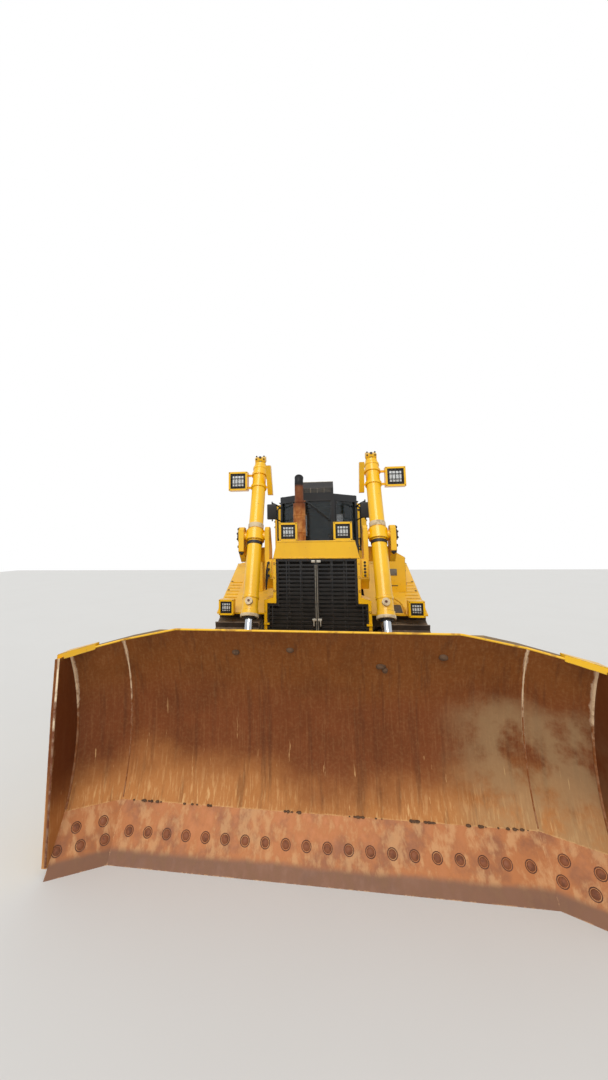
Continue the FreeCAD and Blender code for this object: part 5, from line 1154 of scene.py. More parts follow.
finishPiece(scatter("cheekPlateBolts", makeBolt(0.0105, 0.008, 0.014), plateBolts), "machine", finishes["boltBlack"])
finishPiece(joinPieces("cheekFittings", fittings), "machine", finishes["boltBlack"])
finishPiece(joinPieces("cheekPipes", fittingPipes), "machine", finishes["boltBlack"])

# dark bolted feet under the yokes' outer plates
yokeFeet, footBolts = [], []
for side in (-1, 1):
    yokeFeet.append(addBox(at(side * 0.853 - 0.028, -1.470, 2.252), at(side * 0.853 + 0.028, -1.330, 2.282), 0.006))
    for y in (-1.44, -1.36):
        footBolts.append((at(side * 0.853, y, 2.253), Vector((0, 0, -1))))
    for z in (2.33, 2.53):
        footBolts.append((at(side * 0.884, -1.44, z), Vector((side, 0, 0))))
finishPiece(joinPieces("yokeFeet", yokeFeet), "machine", finishes["boltBlack"])
finishPiece(scatter("yokeFootBolts", makeBolt(0.016, 0.014, 0.021), footBolts), "machine", finishes["boltSteel"])

hood = dict(half=0.460, top=2.365, shoulder=0.070, front=-1.200, rear=-0.160)
hoodParts, hoodDark, hoodScrews = [], [], []
for side in (-1, 1):
    for y in (-0.98, -0.36):
        # a grab handle on the shoulder
        hoodDark.append(addTube([at(side * (hood["half"] - 0.11), y, hood["top"] - 0.004), at(side * (hood["half"] - 0.11), y, hood["top"] + 0.05),
                                 at(side * (hood["half"] - 0.11), y + 0.03, hood["top"] + 0.062), at(side * (hood["half"] - 0.11), y + 0.13, hood["top"] + 0.062),
                                 at(side * (hood["half"] - 0.11), y + 0.16, hood["top"] + 0.05), at(side * (hood["half"] - 0.11), y + 0.16, hood["top"] - 0.004)], 0.010, 8))
    for y in (-1.06, -0.70, -0.30):
        hoodDark.append(addBox(at(side * hood["half"] - 0.006, y, 1.44), at(side * hood["half"] + 0.012 * side, y + 0.05, 1.50), 0.003)
                        if side > 0 else addBox(at(-hood["half"] - 0.012, y, 1.44), at(-hood["half"] + 0.006, y + 0.05, 1.50), 0.003))
    for i in range(9):
        hoodScrews.append((at(side * (hood["half"] - 0.095), hood["front"] + 0.05 + i * 0.115, hood["top"]), Vector((0, 0, 1))))
        hoodScrews.append((at(side * hood["half"], hood["front"] + 0.05 + i * 0.115, hood["top"] - 0.110), Vector((side, 0, 0))))
hoodParts.append(addBox(at(-0.006, hood["front"] + 0.01, hood["top"] - 0.002), at(0.006, hood["rear"] - 0.01, hood["top"] + 0.008), 0.002))
hoodParts.append(addBox(at(0.10, -0.92, hood["top"] - 0.002), at(0.34, -0.62, hood["top"] + 0.010), 0.004))
hoodDark.append(addRod(at(0.22, -0.46, hood["top"] - 0.004), at(0.22, -0.46, hood["top"] + 0.075), 0.046, 28, 0.006))
hoodDark.append(addRod(at(0.22, -0.46, hood["top"] + 0.072), at(0.22, -0.46, hood["top"] + 0.105), 0.072, 28, 0.012))
finishPiece(joinPieces("hoodPanels", hoodParts), "machine", finishes["body_paint"])
finishPiece(joinPieces("hoodHandles", hoodDark), "machine", finishes["boltBlack"])
finishPiece(scatter("hoodScrews", makeDome(0.008, 0.005, 10), hoodScrews), "machine", finishes["boltSteel"])

# ---- exhaust: clamp bands and a rolled rim at the tip
stack = dict(x=-0.230, y=-0.700, muffler=0.080, pipe=0.057, mufflerTop=2.890, pipeTop=3.130, bend=0.150, turn=48)
bands = [addRing(at(stack["x"], stack["y"], z), at(stack["x"], stack["y"], z + 0.022), stack["muffler"] + 0.005, 0.008) for z in (2.50, 2.72)]
bands.append(addRing(at(stack["x"], stack["y"], stack["mufflerTop"] + 0.012), at(stack["x"], stack["y"], stack["mufflerTop"] + 0.040), stack["pipe"] + 0.006, 0.009))
bands.append(addRing(at(stack["x"], stack["y"], 2.366), at(stack["x"], stack["y"], 2.384), stack["muffler"] + 0.026, 0.026))
lugs = [addBox(at(stack["x"] + 0.054, stack["y"] - 0.012, stack["mufflerTop"] + 0.014), at(stack["x"] + 0.084, stack["y"] + 0.012, stack["mufflerTop"] + 0.038), 0.003)]
finishPiece(joinPieces("exhaustBands", bands + lugs), "machine", finishes["exhaust"])
turn = math.radians(stack["turn"])
tipY = stack["y"] + stack["bend"] * (1 - math.cos(turn))
tipZ = stack["pipeTop"] + stack["bend"] * math.sin(turn)
tipWay = Vector((0, math.sin(turn), math.cos(turn)))
tipAt = at(stack["x"], tipY, tipZ)
finishPiece(addRing(tipAt - tipWay * 0.012, tipAt + tipWay * 0.001, stack["pipe"] + 0.003, 0.009, 32, 0.002), "machine", finishes["exhaust"]).name = "exhaustRim"
print("front and hood dressed")

# ---- cab: window gaskets, wipers, roof unit, mirrors and rails
cab = dict(half=0.590, nose=0.235, front=-0.120, corner=0.230, rear=1.350, sill=2.440, lintel=2.985, roof=3.080,
           crown=3.125, margin=0.038, gasket=0.016, proud=0.006)


def paneFrame(name, corners, outward, width, proud, body="machine", finish="trim"):
    # a flat rubber frame round a pane: four corners in order, on the wall's face
    strips = []
    middle = sum((Vector(c) for c in corners), Vector()) / 4
    for i in range(4):
        a, b = Vector(corners[i]), Vector(corners[(i + 1) % 4])
        along = (b - a).normalized()
        inward = (middle - (a + b) / 2).normalized()
        clearSelection()
        bpy.ops.mesh.primitive_cube_add(size=1.0)
        strip = bpy.context.object
        strip.matrix_world = (Matrix.Translation((a + b) / 2 + inward * (width / 2 - 0.006) + outward * (proud / 2 - 0.002))
                              @ Matrix((along, inward, outward)).transposed().to_4x4()
                              @ Matrix.Diagonal(((b - a).length + 0.012, width, proud + 0.004, 1)))
        applyPlace(strip)
        bpy.ops.object.mode_set(mode="EDIT")
        bpy.ops.mesh.select_all(action="SELECT")
        bpy.ops.mesh.normals_make_consistent(inside=False)
        bpy.ops.mesh.bevel(offset=0.0025, segments=2, affect="EDGES")
        bpy.ops.object.mode_set(mode="OBJECT")
        strips.append(strip)
    return finishPiece(joinPieces(name, strips), body, finishes[finish])


low, high = cab["sill"] - 0.060, cab["lintel"]
wide = cab["nose"] - cab["margin"]
paneFrame("windscreenGasket", [at(-wide, cab["front"], low), at(wide, cab["front"], low), at(wide, cab["front"], high), at(-wide, cab["front"], high)],
          Vector((0, -1, 0)), cab["gasket"], cab["proud"])
cornerRun = Vector((cab["half"] - cab["nose"], cab["corner"] - cab["front"], 0))
cornerWay = cornerRun.normalized()
cornerOut = Vector((cornerWay.y, -cornerWay.x, 0))
for side, word in ((1, "Left"), (-1, "Right")):
    flip = Vector((side, 1, 1))
    a = Vector((cab["nose"], cab["front"], 0)) + cornerWay * cab["margin"]
    b = Vector((cab["nose"], cab["front"], 0)) + cornerWay * (cornerRun.length - cab["margin"])
    paneFrame("cornerGasket" + word, [at(*(Vector((a.x, a.y, low)) * flip)), at(*(Vector((b.x, b.y, low)) * flip)),
                                      at(*(Vector((b.x, b.y, high)) * flip)), at(*(Vector((a.x, a.y, high)) * flip))],
              cornerOut * flip, cab["gasket"], cab["proud"])
    paneFrame("sideGasket" + word, [at(side * cab["half"], 1.12, cab["sill"]), at(side * cab["half"], 1.24, cab["sill"]),
                                    at(side * cab["half"], 1.24, cab["lintel"]), at(side * cab["half"], 1.12, cab["lintel"])],
              Vector((side, 0, 0)), 0.012, cab["proud"])
    doorLow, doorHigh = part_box("door_glass_" + word.lower())
    face = side * 0.604
    y0, y1 = doorLow.y - groundY, doorHigh.y - groundY
    paneFrame("doorGasket" + word, [at(face, y0, doorLow.z), at(face, y1, doorLow.z), at(face, y1, doorHigh.z), at(face, y0, doorHigh.z)],
              Vector((side, 0, 0)), cab["gasket"], cab["proud"], "cab_door_" + word.lower())
paneFrame("rearGasket", [at(-0.430, cab["rear"], cab["sill"]), at(0.430, cab["rear"], cab["sill"]), at(0.430, cab["rear"], cab["lintel"]), at(-0.430, cab["rear"], cab["lintel"])],
          Vector((0, 1, 0)), cab["gasket"], cab["proud"])

# wipers: an arm pair and a blade across the windscreen, one more at the rear
wiper = dict(face=-0.128, pivot=(0.155, 2.700), top=(-0.115, 2.930), blade=0.40)


def addWiper(face, pivot, top, away, name):
    px, pz = pivot
    tx, tz = top
    front = Vector((0, away, 0))
    parts = [addRod(at(px, face, pz), at(px, face, pz) + front * 0.030, 0.014, 16, 0.003)]
    for shift in (-0.012, 0.016):
        parts.append(addTube([at(px, face, pz + shift) + front * 0.022, at((px + tx) / 2, face, (pz + tz) / 2 + shift) + front * 0.030,
                              at(tx, face, tz + shift * 0.6) + front * 0.022], 0.0045, 8))
    along = Vector((tx - px, 0, tz - pz)).normalized()
    mid = at(tx, face, tz) + front * 0.014
    half = wiper["blade"] / 2
    blade = addBox((-0.004, -0.007, -half), (0.004, 0.007, half), 0.002)
    way = (along * 0.62 + Vector((0.45, 0, -0.62)) * 0.0 + Vector((0, 0, 0))).normalized()
    blade.data.transform(Matrix.Translation(mid + way * -0.11) @ way.to_track_quat("Z", "Y").to_matrix().to_4x4())
    parts.append(blade)
    return finishPiece(joinPieces(name, parts), "machine", finishes["grip"])


addWiper(wiper["face"] + 0.006, wiper["pivot"], wiper["top"], -1, "frontWiper")
addWiper(1.350, (0.0, 2.52), (0.10, 2.84), 1, "rearWiper")

# roof unit: front louvre slats, a pale top edge, fan covers, lid bolts
unit = dict(front=-0.110, half=0.235, low=3.080, high=3.280)
slats = [addBox(at(-unit["half"] + 0.034, unit["front"] - 0.004, unit["low"] + 0.030 + i * 0.017), at(unit["half"] - 0.034, unit["front"] + 0.014, unit["low"] + 0.0335 + i * 0.017), 0.001)
         for i in range(4)]
slats += [addBox(at(x - 0.004, unit["front"] - 0.006, unit["low"] + 0.018), at(x + 0.004, unit["front"] + 0.01, unit["low"] + 0.092), 0.001) for x in (-0.10, 0.0, 0.10)]
finishPiece(joinPieces("roofUnitSlats", slats), "machine", finishes["grayPlate"])
edgeLine = [addBox(at(-unit["half"] + 0.002, 0.006, unit["high"] - 0.004), at(unit["half"] - 0.002, 0.024, unit["high"] + 0.004), 0.002)]
for side in (-1, 1):
    edgeLine.append(addBox(at(side * (unit["half"] - 0.010) - 0.006, 0.02, unit["high"] - 0.003), at(side * (unit["half"] - 0.010) + 0.006, 0.47, unit["high"] + 0.003), 0.002))
finishPiece(joinPieces("roofUnitLip", edgeLine), "machine", finishes["paleSteel"])
fans = []
for x in (-0.11, 0.11):
    fans.append(addRing(at(x, 0.24, unit["high"] - 0.002), at(x, 0.24, unit["high"] + 0.012), 0.088, 0.010))
    for turn in range(6):
        angle = full * turn / 12
        along = Vector((math.cos(angle), math.sin(angle), 0)) * 0.082
        fans.append(addRod(at(x, 0.24, unit["high"] + 0.007) - along, at(x, 0.24, unit["high"] + 0.007) + along, 0.0028, 6))
finishPiece(joinPieces("roofUnitFans", fans), "machine", finishes["grip"])
roofBolts = [(at(side * x, y, cab["roof"] + 0.0), Vector((0, 0, 1))) for side in (-1, 1) for x, y in ((0.56, 0.28), (0.56, 0.8), (0.56, 1.3))]
finishPiece(scatter("roofBolts", makeBolt(0.010, 0.008, 0.015), [(p + Vector((0, 0, 0.003)), d) for p, d in roofBolts]), "machine", finishes["boltSteel"])

# mirrors on tube arms at the cab's front corners, rails over the doors
for side, word in ((1, "Left"), (-1, "Right")):
    arm = [addTube([at(side * 0.575, 0.235, 2.905), at(side * 0.60, 0.16, 2.925), at(side * 0.66, 0.09, 2.965), at(side * 0.70, 0.06, 2.975)], 0.011, 10),
           addTube([at(side * 0.575, 0.235, 2.70), at(side * 0.61, 0.16, 2.72), at(side * 0.67, 0.09, 2.74), at(side * 0.70, 0.06, 2.75)], 0.009, 10),
           addRod(at(side * 0.70, 0.06, 2.70), at(side * 0.70, 0.06, 3.000), 0.010, 12, 0.002)]
    shell = addBox(at(side * 0.70 - 0.075, 0.020, 2.725), at(side * 0.70 + 0.075, 0.056, 2.960), 0.014, 3)
    arm.append(shell)
    finishPiece(joinPieces("mirror" + word, arm), "machine", finishes["grip"])
    plate = addBox(at(side * 0.70 - 0.064, 0.054, 2.738), at(side * 0.70 + 0.064, 0.0585, 2.947), 0.002)
    finishPiece(joinPieces("mirrorGlass" + word, [plate]), "machine", finishes["mirror"])
    rail = [addTube([at(side * 0.588, 0.27, 2.30), at(side * 0.640, 0.27, 2.31), at(side * 0.642, 0.27, 2.36), at(side * 0.642, 0.27, 2.86),
                     at(side * 0.640, 0.27, 2.91), at(side * 0.588, 0.27, 2.92)], 0.012, 10)]
    finishPiece(joinPieces("doorRail" + word, rail), "machine", finishes["grip"])
    hinges = [(at(side * 0.617, 0.985, z), Vector((side, 0, 0))) for z in (2.20, 2.24, 2.79, 2.83)]
    lock = [addBox(at(side * 0.602 - 0.004, 0.350, 2.245), at(side * 0.602 + 0.008, 0.395, 2.345), 0.003)]
    finishPiece(joinPieces("doorLock" + word, lock), "cab_door_" + word.lower(), finishes["grip"])
    # drip rail over the door
    drip = addBox(at(side * 0.60 - 0.022, 0.30, 2.994), at(side * 0.60 + 0.022, 1.10, 3.006), 0.003)
    finishPiece(joinPieces("dripRail" + word, [drip]), "machine", finishes["cab_paint"])
print("cab dressed")

# ---- running gear: bolts, pin ends, hub covers
chain = dict(pitch=0.216, front=-1.6035, rear=1.6035, idlerZ=0.500, idlerRadius=0.355, driveY=0.600, driveZ=1.400,
             driveRadius=0.430, centre=1.0415, plate=0.075, rail=0.055, boltAt=(0.20, 0.50), boltX=0.095)
wheels = [(chain["front"], chain["idlerZ"], chain["idlerRadius"]), (chain["rear"], chain["idlerZ"], chain["idlerRadius"]),
          (chain["driveY"], chain["driveZ"], chain["driveRadius"])]


def leaveAngle(a, b):
    dy, dz = b[0] - a[0], b[1] - a[1]
    return math.atan2(dz, dy) - math.acos((a[2] - b[2]) / math.hypot(dy, dz))


def wheelPoint(wheel, angle):
    return Vector((0, wheel[0] + wheel[2] * math.cos(angle), wheel[1] + wheel[2] * math.sin(angle)))


def pinPlaces():
    stretches = []
    for i, wheel in enumerate(wheels):
        arrive, leave = leaveAngle(wheels[i - 1], wheel), leaveAngle(wheel, wheels[(i + 1) % 3])
        turn = (leave - arrive) % full
        a, b = wheelPoint(wheel, leave), wheelPoint(wheels[(i + 1) % 3], leave)
        stretches.append((wheel[2] * turn, lambda s, w=wheel, p=arrive, q=turn: wheelPoint(w, p + s * q)))
        stretches.append(((b - a).length, lambda s, a=a, b=b: a.lerp(b, s)))
    total = sum(length for length, place in stretches)
    count = round(total / chain["pitch"])
    pins = []
    for i in range(count):
        travel = (i + 0.5) * total / count
        for length, place in stretches:
            if travel <= length:
                break
            travel -= length
        pins.append(place(travel / length))
    return pins


pins = pinPlaces()
shoeBolts, pinEnds = [], []
for i, pin in enumerate(pins):
    after = pins[(i + 1) % len(pins)]
    along = (after - pin).normalized()
    outward = Vector((0, along.z, -along.y))
    for share in chain["boltAt"]:
        for x in (-chain["boltX"], chain["boltX"]):
            spot = pin + (after - pin) * share + outward * chain["plate"]
            shoeBolts.append((at(chain["centre"] + x, spot.y, spot.z), outward))
    for side in (-1, 1):
        spot = pin + outward * 0.004
        pinEnds.append((at(chain["centre"] + side * (chain["boltX"] + 0.0225), spot.y, spot.z), Vector((side, 0, 0))))
for side, word in ((1, "Left"), (-1, "Right")):
    flip = Vector((side, 1, 1))
    body = "machine"
    finishPiece(scatter("shoeBolts" + word, makeBolt(0.0165, 0.014), [(p * flip, d * flip) for p, d in shoeBolts]), body, finishes["track_steel"])
    finishPiece(scatter("linkPinEnds" + word, makeDome(0.030, 0.007, 12), [(p * flip, d * flip) for p, d in pinEnds]), body, finishes["wheel_steel"])

drive = dict(y=0.600, z=1.400, face=1.240, ring=0.155, cover=0.100, segment=0.372, segments=15)
hubParts, hubBolts = [], []
start = at(drive["face"], drive["y"], drive["z"])
hubParts.append(addRod(start - Vector((0.01, 0, 0)), start + Vector((0.018, 0, 0)), drive["cover"], 36, 0.005))
hubParts.append(addRing(start - Vector((0.05, 0, 0)), start - Vector((0.028, 0, 0)), 0.256, 0.012))
hubParts.append(addRod(start + Vector((0.016, 0.05, 0.0)), start + Vector((0.034, 0.05, 0.0)), 0.018, 6, 0.002))
for i in range(14):
    angle = full * i / 14
    hubBolts.append((start + Vector((0, math.cos(angle), math.sin(angle))) * drive["ring"], Vector((1, 0, 0))))
for i in range(8):
    angle = full * (i + 0.5) / 8
    hubBolts.append((start + Vector((0.018, math.cos(angle) * 0.078, math.sin(angle) * 0.078)), Vector((1, 0, 0))))
for i in range(drive["segments"]):
    angle = full * i / drive["segments"]
    spot = at(chain["centre"] + 0.035, drive["y"] + math.cos(angle) * drive["segment"], drive["z"] + math.sin(angle) * drive["segment"])
    hubBolts.append((spot, Vector((1, 0, 0))))
bothHubs = hubParts + [mirrorPiece(part) for part in hubParts]
finishPiece(joinPieces("driveCovers", bothHubs), "machine", finishes["wheel_steel"])
finishPiece(scatter("driveBolts", makeBolt(0.0125, 0.011, 0.017), bothSides(hubBolts)), "machine", finishes["boltSteel"])

gear = dict(cheek=1.2065, rollerZ=0.362, idlerZ=0.500, rollers=8, span=2.300)
caps, capBolts = [], []
for i in range(gear["rollers"]):
    y = -gear["span"] / 2 + i * gear["span"] / (gear["rollers"] - 1)
    spot = at(gear["cheek"], y, gear["rollerZ"])
    caps.append(addBox(spot - Vector((0.004, 0.068, 0.036)), spot + Vector((0.016, 0.068, 0.036)), 0.008))
    for shift in (-0.045, 0.045):
        capBolts.append((spot + Vector((0.016, shift, 0)), Vector((1, 0, 0))))
for y in (-1.6035, 1.6035):
    spot = at(gear["cheek"], y, gear["idlerZ"])
    caps.append(addRod(spot - Vector((0.004, 0, 0)), spot + Vector((0.022, 0, 0)), 0.066, 28, 0.006))
    for turn in range(4):
        angle = full * (turn + 0.5) / 4
        capBolts.append((spot + Vector((0.022, math.cos(angle) * 0.045, math.sin(angle) * 0.045)), Vector((1, 0, 0))))
for y in (-0.86, -0.36, 0.66):
    caps.append(addBox(at(gear["cheek"] - 0.004, y, 0.470), at(gear["cheek"] + 0.010, y + 0.30, 0.640), 0.005))
    for a in (0.03, 0.27):
        for z in (0.492, 0.618):
            capBolts.append((at(gear["cheek"] + 0.010, y + a, z), Vector((1, 0, 0))))
finishPiece(joinPieces("rollerFrameCovers", caps + [mirrorPiece(cap) for cap in caps]), "machine", finishes["frame_steel"])
finishPiece(scatter("rollerFrameBolts", makeBolt(0.012, 0.010, 0.016), bothSides(capBolts)), "machine", finishes["boltSteel"])

# ---- push arms and struts
arms = dict(inside=1.402, outside=1.562, y=0.150, z=0.560, ballY=-2.200, ballZ=0.560, earY=-1.050, earZ=0.790, headY=-2.450, headZ=1.230)
for side, word in ((1, "left"), (-1, "right")):
    spot = at(side * arms["outside"], arms["y"], arms["z"])
    cap = [addRod(spot - Vector((side * 0.006, 0, 0)), spot + Vector((side * 0.020, 0, 0)), 0.076, 32, 0.006)]
    finishPiece(joinPieces("armCap" + word.capitalize(), cap), "push_arm_" + word, finishes["boltSteel"])
    spots = [(spot + Vector((side * 0.020, math.cos(full * i / 6) * 0.055, math.sin(full * i / 6) * 0.055)), Vector((side, 0, 0))) for i in range(6)]
    for y in (-0.42, -0.34):
        for z in (0.44, 0.66):
            spots.append((at(side * arms["outside"], y, z), Vector((side, 0, 0))))
    finishPiece(scatter("armBolts" + word.capitalize(), makeBolt(0.0105, 0.009, 0.014), spots), "push_arm_" + word, finishes["boltSteel"])
    pad = [addBox(at(side * arms["outside"] - 0.006, -1.42, 0.48), at(side * arms["outside"] + 0.006, -0.98, 0.62), 0.004)]
    finishPiece(joinPieces("armPad" + word.capitalize(), pad), "push_arm_" + word, finishes["body_paint"])
strutWay = Vector((0, arms["headY"] - arms["earY"], arms["headZ"] - arms["earZ"])).normalized()
foot = Vector((1.482, arms["earY"], arms["earZ"]))
reach = math.hypot(arms["headY"] - arms["earY"], arms["headZ"] - arms["earZ"])


def onStrut(along, side=1):
    spot = foot + strutWay * along
    return at(side * spot.x, spot.y, spot.z)


nuts = [addRod(onStrut(a), onStrut(b), 0.071, 6, 0.004) for a, b in ((0.300, 0.345), (reach - 0.345, reach - 0.300))]
nuts += [addRing(onStrut(0.205 + i * 0.012), onStrut(0.209 + i * 0.012), 0.0475, 0.004, 24, 0.001) for i in range(7)]
nuts += [addRing(onStrut(reach - 0.205 - i * 0.012), onStrut(reach - 0.209 - i * 0.012), 0.0475, 0.004, 24, 0.001) for i in range(7)]
finishPiece(joinPieces("braceNuts", nuts), "tilt_brace", finishes["boltSteel"])
tilt = [addRing(onStrut(0.196, -1), onStrut(0.222, -1), 0.081, 0.008), addRing(onStrut(0.775, -1), onStrut(0.818, -1), 0.083, 0.010)]
finishPiece(joinPieces("tiltBands", tilt), "tilt_barrel", finishes["boltBlack"])
glandSpots = [(onStrut(0.820, -1) + Vector((math.cos(full * i / 8) * 0.062, 0, 0)) + Vector((0, -strutWay.z, strutWay.y)) * (math.sin(full * i / 8) * 0.062), strutWay) for i in range(8)]
finishPiece(scatter("tiltGlandBolts", makeBolt(0.0085, 0.008, 0.011), glandSpots), "tilt_barrel", finishes["boltSteel"])
tiltUp = Vector((0, -strutWay.z, strutWay.y))
if tiltUp.z < 0:
    tiltUp = -tiltUp
tiltPipe = [addTube([onStrut(0.26, -1) + tiltUp * 0.070, onStrut(0.262, -1) + tiltUp * 0.102, onStrut(0.32, -1) + tiltUp * 0.108, onStrut(0.68, -1) + tiltUp * 0.108,
                     onStrut(0.738, -1) + tiltUp * 0.102, onStrut(0.74, -1) + tiltUp * 0.070], 0.011, 10)]
tiltPipe += [addRod(onStrut(a, -1) + tiltUp * 0.066, onStrut(a, -1) + tiltUp * 0.092, 0.019, 16, 0.003) for a in (0.26, 0.74)]
finishPiece(joinPieces("tiltPipe", tiltPipe), "tilt_barrel", finishes["boltBlack"])
print("running gear dressed")

# ---- fenders, side tanks, platforms and their rails
platform = dict(top=2.040, thick=0.020, nose=-0.800, inside=0.598, outside=1.3195, reach=0.555, treadPitch=0.060)
runRise = leaveAngle(wheels[2], wheels[0]) - math.pi / 2
slopeStart = (chain["front"] - platform["reach"] * math.sin(runRise), chain["idlerZ"] + platform["reach"] * math.cos(runRise))


def fenderTop(y):
    return min(platform["top"], slopeStart[1] + (y - slopeStart[0]) * math.tan(runRise) + platform["thick"])


slopeWay = Vector((0, math.cos(runRise), math.sin(runRise)))
slopeUp = Vector((0, -math.sin(runRise), math.cos(runRise)))
for side, word in ((1, "Left"), (-1, "Right")):
    treads = []
    for i in range(9):
        y = -0.70 + i * 0.075
        spot = at(side * 1.215, y, fenderTop(y) + 0.002)
        tread = addBox((-0.085, -0.006, -0.003), (0.085, 0.006, 0.006), 0.002)
        tread.data.transform(Matrix.Translation(spot) @ Matrix.Rotation(runRise, 4, "X"))
        treads.append(tread)
    for i in range(14):
        y = 0.32 + i * 0.070
        treads.append(addBox(at(side * 0.96 - 0.33, y - 0.006, platform["top"] - 0.001), at(side * 0.96 + 0.33, y + 0.006, platform["top"] + 0.007), 0.002))
    finishPiece(joinPieces("fenderTreads" + word, treads), "machine", finishes["body_paint"])
    # bolts along the folded outer edge
    fenderBolts = [(at(side * 1.290, y, fenderTop(y)), slopeUp) for y in (-0.74, -0.52, -0.30, -0.08)]
    fenderBolts += [(at(side * 1.290, y, platform["top"]), Vector((0, 0, 1))) for y in (0.35, 0.65, 0.95, 1.25)]
    finishPiece(scatter("fenderBolts" + word, makeBolt(0.011, 0.008, 0.016), fenderBolts), "machine", finishes["boltSteel"])

tank = dict(low=0.915, high=1.165, front=-0.330, rear=0.240, top=2.215)
# pale curved grab rail in front of the left tank, and a black sheet under it as painted shade of the track opening
grab = [addTube([at(0.905, -0.334, 1.735), at(0.907, -0.44, 1.705), at(0.925, -0.58, 1.665), at(0.985, -0.66, 1.640), at(1.035, -0.71, 1.600),
                 at(1.050, -0.78, 1.545), at(1.052, -0.785, 1.515), at(1.052, -0.78, 1.480)], 0.014, 10)]
grab += [addRod(at(0.905, -0.328, 1.735), at(0.905, -0.340, 1.735), 0.026, 16, 0.002)]
finishPiece(joinPieces("tankGrabRail", grab), "machine", finishes["lipPaint"])
panel = [addBox(at(0.935, -0.336, 1.915), at(1.050, -0.326, 2.005), 0.004)]
finishPiece(joinPieces("tankSightGlass", panel), "machine", finishes["grayPlate"])
slot = [addBox(at(0.940, -0.334, 1.776), at(1.055, -0.327, 1.787), 0.002)]
# a flat black sheet on the fender slope: painted shade where the track passes under the fender
trackShadeSheet = addBox((-0.062, -0.088, -0.004), (0.062, 0.088, 0.005), 0.003)
trackShadeSheet.data.transform(Matrix.Translation(at(0.968, -0.695, fenderTop(-0.695))) @ Matrix.Rotation(runRise, 4, "X"))
slot.append(trackShadeSheet)
finishPiece(joinPieces("tankSlotAndTrackShade", slot), "machine", finishes["grip"])
caps = [addRod(at(1.00, 0.06, tank["top"] - 0.004), at(1.00, 0.06, tank["top"] + 0.040), 0.052, 28, 0.006), addRod(at(1.00, 0.06, tank["top"] + 0.036), at(1.00, 0.06, tank["top"] + 0.060), 0.060, 12, 0.008),
        addRod(at(0.98, -0.20, tank["top"] - 0.004), at(0.98, -0.20, tank["top"] + 0.024), 0.075, 32, 0.005)]
finishPiece(joinPieces("tankCaps", caps), "machine", finishes["boltBlack"])
capSpots = [(at(0.98 + math.cos(full * i / 8) * 0.062, -0.20 + math.sin(full * i / 8) * 0.062, tank["top"] + 0.024), Vector((0, 0, 1))) for i in range(8)]
for z in (1.80, 1.98, 2.14):
    capSpots += [(at(tank["high"], y, z), Vector((1, 0, 0))) for y in (-0.30, 0.21)]
finishPiece(scatter("tankBolts", makeBolt(0.009, 0.007, 0.013), capSpots), "machine", finishes["boltSteel"])
locker = dict(low=-1.020, high=-0.790, front=-0.330, rear=0.240, top=2.160)
lid = [addBox(at(-1.026, -0.315, 1.86), at(-1.018, 0.225, 2.115), 0.003), addBox(at(-1.010, -0.320, locker["top"] - 0.003), at(-0.800, 0.230, locker["top"] + 0.006), 0.003)]
finishPiece(joinPieces("lockerLids", lid), "machine", finishes["body_paint"])
latches = [addBox(at(-1.036, y, 1.985), at(-1.024, y + 0.05, 2.035), 0.004) for y in (-0.20, 0.10)]
latches += [addRod(at(-1.028, y, z), at(-1.028, y + 0.07, z), 0.008, 12, 0.002) for y in (-0.24, 0.10) for z in (2.118,)]
finishPiece(joinPieces("lockerLatches", latches), "machine", finishes["boltBlack"])

# ---- roll-over frame bolts, fuel tank fittings, rear lamps
frameSpots = []
for side in (-1, 1):
    for y in (1.40, 1.51):
        for z in (2.66, 2.76):
            frameSpots.append((at(side * 0.832, y, z), Vector((side, 0, 0))))
    for x in (0.70, 0.80):
        for y in (1.36, 1.57):
            frameSpots.append((at(side * x, 1.380 if y < 1.5 else 1.530, 2.95), Vector((0, -1 if y < 1.5 else 1, 0))))
finishPiece(scatter("postBolts", makeBolt(0.015, 0.012, 0.021), frameSpots), "machine", finishes["boltSteel"])
fuel = dict(half=0.640, front=1.576, rear=2.070, top=2.440, low=1.440)
straps = []
for x in (-0.36, 0.36):
    straps.append(addBox(at(x - 0.030, fuel["rear"] - 0.004, fuel["low"] + 0.15), at(x + 0.030, fuel["rear"] + 0.006, fuel["top"] - 0.20), 0.003))
    straps.append(addBox(at(x - 0.030, fuel["front"] + 0.02, fuel["top"] - 0.004), at(x + 0.030, fuel["rear"] - 0.13, fuel["top"] + 0.006), 0.003))
finishPiece(joinPieces("fuelStraps", straps), "machine", finishes["frame_steel"])
filler = [addRod(at(-0.12, 1.80, fuel["top"] - 0.004), at(-0.12, 1.80, fuel["top"] + 0.045), 0.058, 28, 0.006), addRod(at(-0.12, 1.80, fuel["top"] + 0.040), at(-0.12, 1.80, fuel["top"] + 0.066), 0.068, 12, 0.010),
          addRod(at(0.15, 1.80, fuel["top"] - 0.004), at(0.15, 1.80, fuel["top"] + 0.050), 0.020, 16, 0.004)]
finishPiece(joinPieces("fuelCaps", filler), "machine", finishes["boltBlack"])
rearLamps, rearLens, redLens = [], [], []
for side in (-1, 1):
    rearLamps.append(addBox(at(side * 0.52 - 0.085, fuel["rear"] - 0.112, fuel["top"] - 0.005), at(side * 0.52 + 0.085, fuel["rear"] - 0.030, fuel["top"] + 0.130), 0.008))
    rearLens.append(addBox(at(side * 0.52 - 0.066, fuel["rear"] - 0.032, fuel["top"] + 0.018), at(side * 0.52 + 0.066, fuel["rear"] - 0.026, fuel["top"] + 0.112), 0.004))
    redLens.append(addBox(at(side * 0.57 - 0.035, fuel["rear"] - 0.002, 1.66), at(side * 0.57 + 0.035, fuel["rear"] + 0.014, 1.76), 0.005))
finishPiece(joinPieces("rearLampBoxes", rearLamps), "machine", finishes["lamp"])
finishPiece(joinPieces("rearLampLenses", rearLens), "machine", finishes["lensWhite"])
finishPiece(joinPieces("rearRedLamps", redLens), "machine", finishes["lensRed"])
